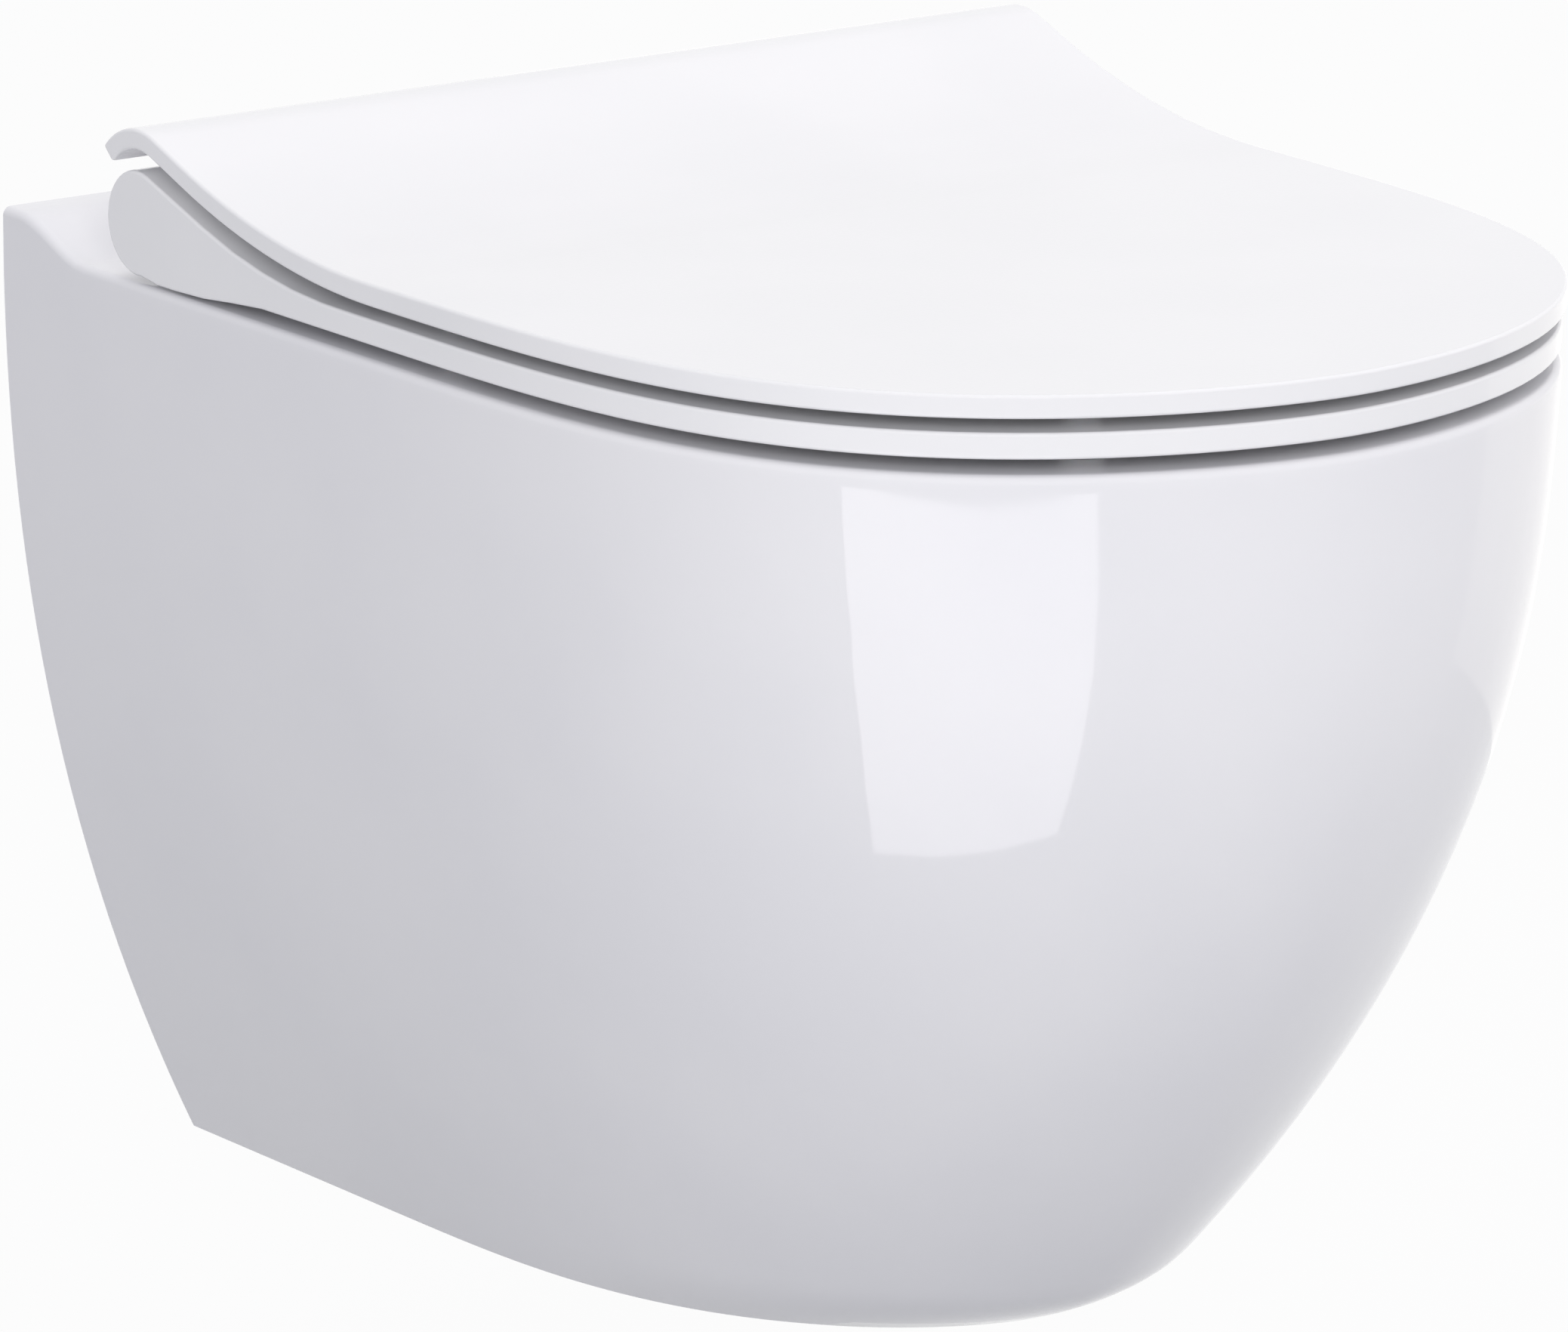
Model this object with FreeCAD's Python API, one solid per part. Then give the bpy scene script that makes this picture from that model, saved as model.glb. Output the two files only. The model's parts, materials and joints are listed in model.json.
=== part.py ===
import FreeCAD, Part

import math
import os

from FreeCAD import Vector

# Wall hung toilet with a slim hinged seat and lid.
# Millimetres. X is sideways, +Z is up, the wall is the plane Y = 0 and the toilet stands out to -Y.
# The origin is midway between the two wall studs, on the wall.

# ---- pan: outside form ----
PAN_HALF_WIDTH = 184.5      # at the rim
PAN_REACH = 510.0           # wall to the front of the rim
PAN_HEIGHT = 329.0          # underside to rim
RIM_ABOVE_STUDS = 93.7      # the rim and hinge deck, above the wall studs
SIDE_TUCK = 74.8            # how far each side draws in at the underside
SIDE_TUCK_CUBIC = 0.2       # share of that draw that comes late, near the underside
NOSE_TUCK = 144.0           # how far the nose draws back at the underside
NOSE_TUCK_START = 40.0      # depth below the rim at which the nose starts to draw back
NOSE_TUCK_POWER = 2.05
NOSE_ROUND = 17.0           # extra setback of the nose where it turns under
NOSE_ROUND_HEIGHT = 20.0
SHOULDER_TOP = 212.0        # wall to where the straight side starts to curve, at the rim
SHOULDER_BOTTOM = 129.0
RIM_EDGE_RADIUS = 3.0
FOOT_EDGE_RADIUS = 4.0
BOWL_EDGE_RADIUS = 5.0
WALL_TRIM = 20.0            # the outline is drawn this far past the wall, then cut off at it
LEDGE_HEIGHT = 11.5         # the upstand along the wall, above the deck
LEDGE_TOP_DEPTH = 9.0
LEDGE_FOOT = 50.0           # wall to where the upstand starts to rise

# ---- pan: casting ----
CHINA_WALL = 10.0
RIM_THICKNESS = 14.0
RIM_FRONT_WIDTH = 40.0      # from the front of the rim to the mouth of the bowl
RIM_SIDE_WIDTH = 40.5
BOWL_REAR_TO_WALL = 170.0
BOWL_WALL = 9.0
SHELF_DROP = 46.0           # rim down to the shelf that carries the flush water
SHELF_UNDERCUT = 5.0
SHELF_WIDTH = 10.0
SUMP_HALF_LENGTH = 42.0
SUMP_HALF_WIDTH = 39.0
SUMP_TO_WALL = 240.0

# ---- connections to the wall ----
STUD_SPACING = 180.0
STUD_HOLE_RADIUS = 6.6
INLET_ABOVE_STUDS = 35.0
OUTLET_BELOW_STUDS = 100.0
SPIGOT_RADIUS = 51.0
SPIGOT_LENGTH = 46.0
SPIGOT_SETBACK = 3.0
TRAP_RADIUS = 36.0
TRAP_WALL = 9.0
WEIR_TO_WALL = 150.0
WEIR_BELOW_STUDS = 62.0
INLET_SOCKET_RADIUS = 27.5
INLET_SOCKET_DEPTH = 45.0
INLET_WALL = 9.0
FLUSH_PIPE_RADIUS = 22.5
SEAL_CLEARANCE = 0.2
SEAL_LENGTH = 40.0
FLUSH_WAY_RADIUS = 15.0
FLUSH_WAY_RISE = 0.5        # above the shelf, and below the deck
FLUSH_WAY_LENGTH = 55.0
DEFLECTOR_HALF_WIDTH = 46.0
DEFLECTOR_STANDOFF = 9.0    # clear of the back of the bowl
DEFLECTOR_THICKNESS = 3.0
DEFLECTOR_FOOT_GAP = 4.0    # above the shelf, where the flush water spreads
DEFLECTOR_DROP = 6.0        # below the rim
LUG_THICKNESS = 14.0
LUG_HALF_HEIGHT = 30.0
LUG_INNER_EDGE = 64.0

# ---- seat ----
RING_GAP = 5.1              # rim to the underside of the ring
RING_THICKNESS = 8.8
RING_SIDE_OVERHANG = 0.0    # past the side of the pan
RING_FRONT_SETBACK = 1.0    # behind the front of the pan
RING_SIDE_WIDTH = 71.5
RING_FRONT_WIDTH = 58.0
RING_HOLE_TO_WALL = 167.0
RING_REAR_DEPTH = 3.6       # how much lower the ring's thick rear part hangs
RING_REAR_START = 72.0      # hinge axis to where that part starts
RING_REAR_STEP = 1.1
RING_REAR_KNEE = 34.0
RING_REAR_FOOT = 12.0
LID_GAP = 4.7               # ring to the underside of the lid
LID_THICKNESS = 7.9
LID_SIDE_OVERHANG = 1.5
LID_FRONT_OVERHANG = 0.6
EDGE_RADIUS = 1.2
HOLE_EDGE_RADIUS = 2.5
PAD_CLEARANCE = 0.3
RING_PAD_RADIUS = 7.5
LID_PAD_RADIUS = 6.5
PAD_FRONT_X = 72.0
PAD_FRONT_INSET = 48.0
PAD_SIDE_INSET = 27.0
PAD_REAR_INSET = 26.0

# ---- hinge ----
AXIS_TO_WALL = 83.7
AXIS_ABOVE_RIM = 20.7
ROLL_RADIUS = 18.1          # the ring's rear roll, about the hinge axis
RING_SLOPE_DEG = 18.2
RING_SWEEP_RADIUS = 255.0
HOOK_RADIUS = 28.4          # outside of the lid's rear hook
HOOK_THICKNESS = 7.1
HOOK_OFFSET_Y = -3.0        # centre of the hook from the hinge axis
HOOK_OFFSET_Z = 4.6
HOOK_TIP_DEG = 43.0         # where the hook ends, above the level towards the wall
LID_SLOPE_DEG = 19.8
LID_SWEEP_RADIUS = 326.0
HINGE_SPACING = 155.0
RING_UNDER_ROLL_DEG = 97.0  # where the roll's underside starts, below the level towards the user
POST_WIDTH = 26.0
POST_BARREL_RADIUS = 11.0
ROSETTE_RADIUS = 19.5
ROSETTE_THICKNESS = 2.5
WINDOW_MARGIN = 2.2
ARM_THICKNESS = 9.0
ARM_WEB_FRONT = 10.0
ARM_WEB_BACK = 8.0
PIN_RADIUS = 4.0
PIN_GRIP = 22.0             # how far each pin reaches into the ring's middle
PIN_IN_DAMPER = 8.0
BUSH_WALL = 1.5
RUNNING_CLEARANCE = 0.05
GAP = 0.3
SEAT_STUD_RADIUS = 4.5
SEAT_STUD_HEIGHT = 13.0
SEAT_THREAD_RADIUS = 3.9
SEAT_THREAD_LENGTH = 52.0
SEAT_HOLE_RADIUS = 7.5
SLEEVE_LENGTH = 30.0
CONE_NUT_HEIGHT = 12.0
CONE_NUT_TAPER = 1.5
GROOVE_DEPTH = 1.0
BUTTON_ABOVE_ROSETTE = 5.85
BUTTON_HALF_WIDTH = 7.0
BUTTON_HALF_HEIGHT = 3.2
BUTTON_CATCH_GAP = 0.4
BUTTON_TRAVEL = 2.5
DAMPER_RADIUS = 9.0
DAMPER_LENGTH = 46.0

# ---- wall fixings ----
SLEEVE_RADIUS = 12.0
SLEEVE_FLANGE_RADIUS = 17.0
SLEEVE_FLANGE = 3.0
WASHER_THICKNESS = 2.5
BLOCK_DEPTH = 28.0
BLOCK_SIZE = 34.0
GRUB_RADIUS = 4.0
GRUB_LENGTH = 14.0
GRUB_KEY_RADIUS = 2.3
GRUB_KEY_DEPTH = 5.0
ACCESS_HOLE_RADIUS = 8.0
CAP_STEM = 8.0
CAP_BRIM = 2.5
CAP_THICKNESS = 1.5

# ---- derived sizes and levels ----
RIM = RIM_ABOVE_STUDS
BASE = RIM - PAN_HEIGHT
DECK_UNDERSIDE = RIM - RIM_THICKNESS
SHELF = RIM - SHELF_DROP
SUMP_FLOOR = BASE + CHINA_WALL + BOWL_WALL
BOWL_HALF_WIDTH = PAN_HALF_WIDTH - RIM_SIDE_WIDTH
BOWL_HALF_LENGTH = (PAN_REACH - RIM_FRONT_WIDTH - BOWL_REAR_TO_WALL) / 2
BOWL_CENTRE = -(BOWL_REAR_TO_WALL + BOWL_HALF_LENGTH)
RING_HALF_WIDTH = PAN_HALF_WIDTH + RING_SIDE_OVERHANG
RING_REACH = PAN_REACH - RING_FRONT_SETBACK
RING_UNDERSIDE = RIM + RING_GAP
RING_TOP = RING_UNDERSIDE + RING_THICKNESS
RING_HOLE_HALF_WIDTH = RING_HALF_WIDTH - RING_SIDE_WIDTH
RING_HOLE_HALF_LENGTH = (RING_REACH - RING_FRONT_WIDTH - RING_HOLE_TO_WALL) / 2
RING_HOLE_CENTRE = -(RING_HOLE_TO_WALL + RING_HOLE_HALF_LENGTH)
LID_HALF_WIDTH = PAN_HALF_WIDTH + LID_SIDE_OVERHANG
LID_REACH = PAN_REACH + LID_FRONT_OVERHANG
LID_UNDERSIDE = RING_TOP + LID_GAP
LID_TOP = LID_UNDERSIDE + LID_THICKNESS
AXIS = Vector(0, -AXIS_TO_WALL, RIM + AXIS_ABOVE_RIM)
HINGE_X = HINGE_SPACING / 2
STUD_X = STUD_SPACING / 2
SIDES = (("left", -1), ("right", 1))
NOSE_POINTS = 9

os.makedirs("parts", exist_ok=True)


# ---- small helpers ----
def box(x0, x1, y0, y1, z0, z1):
    """An upright box between two corners given in any order."""
    low = Vector(min(x0, x1), min(y0, y1), min(z0, z1))
    return Part.makeBox(abs(x1 - x0), abs(y1 - y0), abs(z1 - z0), low)


def rod(radius, start, end):
    """A cylinder from one point to another."""
    along = end - start
    return Part.makeCylinder(radius, along.Length, start, along)


def tube(outer, inner, start, end):
    """A straight tube from one point to another."""
    return rod(outer, start, end).cut(rod(inner, start, end))


def swept_way(radius, points):
    """A round passage through the points, with a ball at each turn."""
    way = rod(radius, points[0], points[1])
    for here, there in zip(points[1:], points[2:]):
        way = way.fuse(Part.makeSphere(radius, here)).fuse(rod(radius, here, there))
    return way


def profile_solid(edges, half_width):
    """A side profile in the YZ plane, carried across from -half_width to +half_width."""
    face = Part.Face(Part.Wire(Part.__sortEdges__(edges)))
    solid = face.extrude(Vector(2 * half_width, 0, 0))
    solid.translate(Vector(-half_width, 0, 0))
    return solid


def at_yz(y, z):
    return Vector(0, y, z)


def line(a, b):
    return Part.LineSegment(a, b).toShape()


def arc(centre, radius, start_deg, end_deg):
    """An arc in the YZ plane; angles are from +Y towards +Z."""
    middle = (start_deg + end_deg) / 2
    ends = [
        centre + at_yz(radius * math.cos(math.radians(t)), radius * math.sin(math.radians(t)))
        for t in (start_deg, middle, end_deg)
    ]
    return Part.Arc(*ends).toShape()


def write(name, shape):
    """Each piece goes to its own file, with its shape cleaned and checked."""
    clean = shape.removeSplitter()
    if not clean.isValid() or clean.Volume <= 0:
        raise ValueError(name + " is not a valid solid")
    clean.exportStep("parts/" + name + ".step")


def sharp_edges(shape, least_deg=20.0):
    """The edges of a solid along which its two faces meet at an angle."""
    found = []
    for edge in shape.Edges:
        faces = shape.ancestorsOfType(edge, Part.Face)
        middle = edge.valueAt((edge.FirstParameter + edge.LastParameter) / 2)
        normals = [face.normalAt(*face.Surface.parameter(middle)) for face in faces]
        if len(normals) == 2 and math.degrees(normals[0].getAngle(normals[1])) > least_deg:
            found.append(edge)
    return found


# ---- plan outlines ----
def nose_point(angle, half_width, shoulder, reach, fullness, turn):
    """A point of the rounded front: half width times (1 - u^fullness)^(1/turn), u from shoulder to tip."""
    u = math.sin(angle) ** (2 / fullness)
    x = half_width * max(0.0, 1 - u ** fullness) ** (1 / turn)
    return x, -(shoulder + u * (reach - shoulder))


def outline(half_width, shoulder, reach, z, fullness=3.7, turn=1.8, back=0.0):
    """The closed plan outline at height z: straight sides from the back, then one smooth nose."""
    step = math.pi / 2 / (NOSE_POINTS - 1)
    half = [
        nose_point(i * step, half_width, shoulder, reach, fullness, turn) for i in range(NOSE_POINTS - 1)
    ]
    points = [Vector(x, y, z) for x, y in half] + [Vector(0, -reach, z)]
    curve = Part.BSplineCurve()
    curve.interpolate(
        Points=points,
        Parameters=[float(i) for i in range(len(points))],
        InitialTangent=Vector(0, points[1].y - points[0].y, 0),
        FinalTangent=Vector(points[-1].x - points[-2].x, 0, 0),
        Scale=False,
    )
    right = curve.toShape()
    poles = [Vector(-pole.x, pole.y, pole.z) for pole in reversed(curve.getPoles())]
    last = curve.LastParameter
    knots = [last - knot for knot in reversed(curve.getKnots())]
    mirrored = Part.BSplineCurve()
    counts = list(reversed(curve.getMultiplicities()))
    mirrored.buildFromPolesMultsKnots(poles, counts, knots, False, curve.Degree)
    left = mirrored.toShape()
    corner_right = Vector(half_width, back, z)
    corner_left = Vector(-half_width, back, z)
    foot_left = Vector(-points[0].x, points[0].y, z)
    edges = [right, left, line(foot_left, corner_left), line(corner_left, corner_right)]
    edges.append(line(corner_right, points[0]))
    return Part.Wire(edges)


def pan_outline(depth, inset=0.0, back=0.0):
    """The pan's outline at a depth below the rim, drawn in by inset."""
    d = max(0.0, depth)
    t = d / PAN_HEIGHT
    half_width = PAN_HALF_WIDTH - SIDE_TUCK * t * t * (1 - SIDE_TUCK_CUBIC + SIDE_TUCK_CUBIC * t)
    fall = max(0.0, d - NOSE_TUCK_START) / (PAN_HEIGHT - NOSE_TUCK_START)
    turn_under = max(0.0, d - PAN_HEIGHT + NOSE_ROUND_HEIGHT) / NOSE_ROUND_HEIGHT
    reach = PAN_REACH - NOSE_TUCK * fall ** NOSE_TUCK_POWER - NOSE_ROUND * turn_under ** 2
    shoulder = SHOULDER_TOP + (SHOULDER_BOTTOM - SHOULDER_TOP) * t
    return outline(
        half_width - inset, shoulder, reach - inset, RIM - depth, 3.7 - 0.6 * t, 1.8 - 0.13 * t, back
    )


def pan_levels(first, last):
    """Depths for the pan's outlines, closer together where the nose turns under."""
    turn = PAN_HEIGHT - NOSE_ROUND_HEIGHT
    even = [PAN_HEIGHT * i / 6 for i in range(6)]
    close = [turn, turn + NOSE_ROUND_HEIGHT / 2, PAN_HEIGHT]
    inside = [d for d in even + close if first < d < last]
    return [first] + inside + [last]


def seat_plan(half_width, reach, low, high):
    """The seat's plan outline as a tall prism, for trimming a side profile."""
    wire = outline(half_width, SHOULDER_TOP, reach, low)
    return Part.Face(wire).extrude(Vector(0, 0, high - low))


def oval(half_length, half_width, centre_y, z):
    """An oval whose edge starts at its rear end, whether it is longer along Y or along X."""
    if half_length >= half_width:
        edge = Part.Ellipse(Vector(0, 0, 0), half_length, half_width).toShape()
        edge.rotate(Vector(0, 0, 0), Vector(0, 0, 1), 90)
    else:
        broad = Part.Ellipse(Vector(0, 0, 0), half_width, half_length)
        edge = Part.ArcOfEllipse(broad, math.pi / 2, math.pi * 5 / 2).toShape()
    edge.translate(Vector(0, centre_y, z))
    return Part.Wire(edge)


# ---- the glazed pan ----
def pan_skin():
    """The outside of the pan, up past the ledge, then trimmed to the deck and the ledge along the wall."""
    levels = pan_levels(-LEDGE_HEIGHT - 5, PAN_HEIGHT)
    block = Part.makeLoft([pan_outline(d, 0.0, WALL_TRIM) for d in levels], True, False)
    top = RIM + LEDGE_HEIGHT
    rise = Part.BSplineCurve()
    rise.interpolate(
        Points=[at_yz(-LEDGE_FOOT, RIM), at_yz(-LEDGE_TOP_DEPTH, top)],
        InitialTangent=Vector(0, LEDGE_FOOT - LEDGE_TOP_DEPTH, 0),
        FinalTangent=Vector(0, LEDGE_FOOT - LEDGE_TOP_DEPTH, 0),
        Parameters=[0.0, 1.0],
        Scale=False,
    )
    above = top + 20
    front = -PAN_REACH - 20
    behind = WALL_TRIM + 5
    edges = [
        line(at_yz(front, RIM), at_yz(-LEDGE_FOOT, RIM)),
        rise.toShape(),
        line(at_yz(-LEDGE_TOP_DEPTH, top), at_yz(behind, top)),
        line(at_yz(behind, top), at_yz(behind, above)),
        line(at_yz(behind, above), at_yz(front, above)),
        line(at_yz(front, above), at_yz(front, RIM)),
    ]
    block = block.cut(profile_solid(edges, PAN_HALF_WIDTH + 20))
    ahead = [edge for edge in sharp_edges(block) if edge.BoundBox.YMin < 0]
    rim_edges = [edge for edge in ahead if edge.BoundBox.ZMin > RIM - 1]
    block = block.makeFillet(RIM_EDGE_RADIUS, rim_edges)
    ahead = [edge for edge in sharp_edges(block) if edge.BoundBox.YMin < 0]
    foot_edges = [edge for edge in ahead if edge.BoundBox.ZMax < BASE + 1]
    if foot_edges:
        block = block.makeFillet(FOOT_EDGE_RADIUS, foot_edges)
    return block


def bowl_space(grow=0.0):
    """The inside of the bowl: an upper part under the rim, a shelf, then the slope to the sump."""
    length = BOWL_HALF_LENGTH + grow
    width = BOWL_HALF_WIDTH + grow
    under = SHELF_UNDERCUT
    upper = Part.makeLoft(
        [
            oval(length, width, BOWL_CENTRE, RIM + 1),
            oval(length + under, width + under, BOWL_CENTRE, SHELF - grow),
        ],
        True,
        True,
    )
    depth = SHELF - SUMP_FLOOR
    long_top = BOWL_HALF_LENGTH + under - SHELF_WIDTH
    wide_top = BOWL_HALF_WIDTH + under - SHELF_WIDTH
    stations = []
    for share in (0.0, 0.2, 0.42, 0.64, 0.84, 1.0):
        ease = share ** 1.35
        half_long = long_top + (SUMP_HALF_LENGTH - long_top) * ease
        half_wide = wide_top + (SUMP_HALF_WIDTH - wide_top) * ease
        centre = BOWL_CENTRE + (-SUMP_TO_WALL - BOWL_CENTRE) * share
        level = SHELF + 1 - (depth + grow) * share
        stations.append(oval(half_long + grow, half_wide + grow, centre, level))
    lower = Part.makeLoft(stations, True, False)
    return upper.fuse(lower)


def trap_points():
    """The water way from the sump, over the weir and out to the spigot."""
    low = SUMP_FLOOR + TRAP_RADIUS
    return [
        at_yz(-SUMP_TO_WALL, low),
        at_yz(-SUMP_TO_WALL + SUMP_HALF_LENGTH, low),
        at_yz(-WEIR_TO_WALL, -WEIR_BELOW_STUDS),
        at_yz(-SPIGOT_LENGTH - SPIGOT_RADIUS, -OUTLET_BELOW_STUDS),
        at_yz(-SPIGOT_SETBACK, -OUTLET_BELOW_STUDS),
    ]


def flush_points():
    """The way of the flush water from the socket to the back of the bowl."""
    rear_of_bowl = BOWL_CENTRE + BOWL_HALF_LENGTH
    return [
        at_yz(-INLET_SOCKET_DEPTH + 5, INLET_ABOVE_STUDS),
        at_yz(-INLET_SOCKET_DEPTH - FLUSH_WAY_LENGTH, INLET_ABOVE_STUDS),
        at_yz(rear_of_bowl - FLUSH_WAY_RADIUS / 2, SHELF + FLUSH_WAY_RADIUS + FLUSH_WAY_RISE),
    ]


def is_bowl_mouth(bounds):
    """True for the box of an edge that lies on the rim, around the bowl."""
    on_rim = abs(bounds.ZMin - RIM) < 0.1 and abs(bounds.ZMax - RIM) < 0.1
    long = BOWL_HALF_LENGTH + 1
    wide = BOWL_HALF_WIDTH + 1
    within = bounds.YMax < BOWL_CENTRE + long and bounds.YMin > BOWL_CENTRE - long
    return on_rim and within and bounds.XMax < wide and bounds.XMin > -wide


def water_ways():
    """Everything that is cut through the casting for water, from the socket to the spigot."""
    wall = at_yz(1, 0)
    drop = at_yz(0, -OUTLET_BELOW_STUDS)
    rise = at_yz(0, INLET_ABOVE_STUDS)
    ways = bowl_space().fuse(swept_way(TRAP_RADIUS, trap_points() + [wall + drop]))
    ways = ways.fuse(swept_way(FLUSH_WAY_RADIUS, flush_points()))
    return ways.fuse(rod(INLET_SOCKET_RADIUS, wall + rise, rise - at_yz(INLET_SOCKET_DEPTH, 0)))


def casting_body():
    """The outside of the pan with its deck and rim, hollow behind, with a lug at each wall stud."""
    inner_levels = pan_levels(RIM_THICKNESS, PAN_HEIGHT - CHINA_WALL)
    hollow = Part.makeLoft([pan_outline(d, CHINA_WALL, WALL_TRIM) for d in inner_levels], True, False)
    for _, side in SIDES:
        edge = side * LUG_INNER_EDGE
        lug = box(edge, side * PAN_HALF_WIDTH, -LUG_THICKNESS, 0, -LUG_HALF_HEIGHT, LUG_HALF_HEIGHT)
        hollow = hollow.cut(lug)
    body = pan_skin().cut(hollow)
    wide = PAN_HALF_WIDTH + 5
    body = body.cut(box(-wide, wide, 0, WALL_TRIM + 5, BASE - 5, RIM + LEDGE_HEIGHT + 10))
    body = body.cut(bowl_space().common(box(-wide, wide, 0, -PAN_REACH, DECK_UNDERSIDE, RIM + 5)))
    mouth = [edge for edge in sharp_edges(body) if is_bowl_mouth(edge.BoundBox)]
    return body.makeFillet(BOWL_EDGE_RADIUS, mouth)


def above_and_below(body, level):
    """The body in two, parted on the level."""
    wide = PAN_HALF_WIDTH + 20
    front = -PAN_REACH - 20
    above = body.common(box(-wide, wide, 20, front, level, RIM + 50))
    below = body.common(box(-wide, wide, 20, front, level, BASE - 20))
    return above, below


def build_deck_and_shell():
    """The rim with the hinge deck and the upstand, and under it the wall of the pan with its floor."""
    deck, shell = above_and_below(casting_body(), DECK_UNDERSIDE)
    through_deck = Vector(0, 0, RIM_THICKNESS + 2)
    through_lug = Vector(0, LUG_THICKNESS + 2, 0)
    through_floor = Vector(0, 0, CHINA_WALL + 2)
    for _, side in SIDES:
        hinge = Vector(side * HINGE_X, -AXIS_TO_WALL, DECK_UNDERSIDE - 1)
        deck = deck.cut(rod(SEAT_HOLE_RADIUS, hinge, hinge + through_deck))
        stud = Vector(side * STUD_X, -LUG_THICKNESS - 1, 0)
        shell = shell.cut(rod(SLEEVE_RADIUS + GAP, stud, stud + through_lug))
        access = Vector(side * STUD_X, block_middle(), BASE - 1)
        shell = shell.cut(rod(ACCESS_HOLE_RADIUS, access, access + through_floor))
    return deck, shell


def build_bowl():
    """The wall of the bowl under the deck, and from the shelf down its funnel."""
    wide = PAN_HALF_WIDTH
    under_deck = box(-wide, wide, 0, -PAN_REACH, BASE + CHINA_WALL, DECK_UNDERSIDE)
    bowl = bowl_space(BOWL_WALL).common(under_deck).cut(water_ways())
    return above_and_below(bowl, SHELF)


def build_trap():
    """The trap from the sump over the weir, and the waste spigot."""
    way = trap_points()
    spigot_back = way[-1]
    spigot_root = spigot_back - at_yz(SPIGOT_LENGTH, 0)
    trap = swept_way(TRAP_RADIUS + TRAP_WALL, way).fuse(rod(SPIGOT_RADIUS, spigot_root, spigot_back))
    trap = trap.cut(bowl_space(BOWL_WALL))
    return trap.cut(water_ways())


def build_flush_horn():
    """The socket for the flush pipe and the way from it to the bowl."""
    mouth = at_yz(0, INLET_ABOVE_STUDS)
    root = mouth - at_yz(INLET_SOCKET_DEPTH + INLET_WALL, 0)
    horn = swept_way(FLUSH_WAY_RADIUS + INLET_WALL, flush_points())
    horn = horn.fuse(rod(INLET_SOCKET_RADIUS + INLET_WALL, mouth, root))
    wide = PAN_HALF_WIDTH
    horn = horn.common(box(-wide, wide, 0, -PAN_REACH, BASE, DECK_UNDERSIDE))
    horn = horn.cut(bowl_space(BOWL_WALL))
    return horn.cut(water_ways())


# ---- seat ----
def swept_profile(centre, radius, slope_deg, sweep_radius, level, offset=0.0):
    """Edges of a seat's upper line from the rear roll down to the flat, drawn in by offset.

    The line leaves the roll at the slope, and a long hollow arc brings it level.
    Returns the edges and the point where the flat starts."""
    slope = math.radians(slope_deg)
    r = radius - offset
    big = sweep_radius + offset
    leave = centre + at_yz(-r * math.sin(slope), r * math.cos(slope))
    sweep_z = level - offset + big
    # the hollow arc's centre stands above the flat; its lower end is level, its upper end has the slope
    drop = leave.z - (sweep_z - big * math.cos(slope))
    run = drop / math.tan(slope)
    join = at_yz(leave.y - run, leave.z - drop)
    sweep_centre = at_yz(join.y - big * math.sin(slope), sweep_z)
    flat = at_yz(sweep_centre.y, level - offset)
    middle_angle = math.radians(-90 + slope_deg / 2)
    middle = sweep_centre + at_yz(big * math.cos(middle_angle), big * math.sin(middle_angle))
    return [line(leave, join), Part.Arc(join, middle, flat).toShape()], flat, leave


def build_lid():
    centre = AXIS + at_yz(HOOK_OFFSET_Y, HOOK_OFFSET_Z)
    outer, flat_top, _ = swept_profile(centre, HOOK_RADIUS, LID_SLOPE_DEG, LID_SWEEP_RADIUS, LID_TOP)
    inner_radius = HOOK_RADIUS - HOOK_THICKNESS
    inner, flat_low, _ = swept_profile(
        centre, inner_radius, LID_SLOPE_DEG, LID_SWEEP_RADIUS + LID_THICKNESS, LID_UNDERSIDE
    )
    leave_deg = 90 + LID_SLOPE_DEG
    hook_out = arc(centre, HOOK_RADIUS, HOOK_TIP_DEG, leave_deg)
    hook_in = arc(centre, inner_radius, HOOK_TIP_DEG, leave_deg)
    tip = math.radians(HOOK_TIP_DEG)
    across = at_yz(math.cos(tip), math.sin(tip))
    front = -LID_REACH - 10
    edges = outer + inner + [hook_out, hook_in]
    edges.append(line(centre + across * HOOK_RADIUS, centre + across * inner_radius))
    edges.append(line(flat_top, at_yz(front, LID_TOP)))
    edges.append(line(at_yz(front, LID_TOP), at_yz(front, LID_UNDERSIDE)))
    edges.append(line(at_yz(front, LID_UNDERSIDE), flat_low))
    sheet = profile_solid(edges, LID_HALF_WIDTH + 5)
    lid = sheet.common(seat_plan(LID_HALF_WIDTH, LID_REACH, 0, 2 * LID_TOP))
    return lid.makeFillet(EDGE_RADIUS, sharp_edges(lid))


def hinge_windows():
    """The gaps in the ring's rear roll where the hinge posts and the lid's arms stand."""
    front = -AXIS_TO_WALL - ROSETTE_RADIUS - WINDOW_MARGIN
    back = -AXIS_TO_WALL + ROLL_RADIUS + 5
    inner = HINGE_X - ROSETTE_RADIUS - WINDOW_MARGIN
    outer = HINGE_X + POST_WIDTH / 2 + ARM_THICKNESS + WINDOW_MARGIN
    low = RIM
    high = AXIS.z + ROLL_RADIUS + 5
    return [box(side * inner, side * outer, front, back, low, high) for _, side in SIDES]


def in_hole(bounds):
    """True for the box of an edge that lies on the wall of the ring's opening."""
    within = max(abs(bounds.XMin), abs(bounds.XMax)) < RING_HOLE_HALF_WIDTH + 1
    low = RING_HOLE_CENTRE - RING_HOLE_HALF_LENGTH - 1
    high = RING_HOLE_CENTRE + RING_HOLE_HALF_LENGTH + 1
    return within and bounds.YMin > low and bounds.YMax < high


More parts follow.
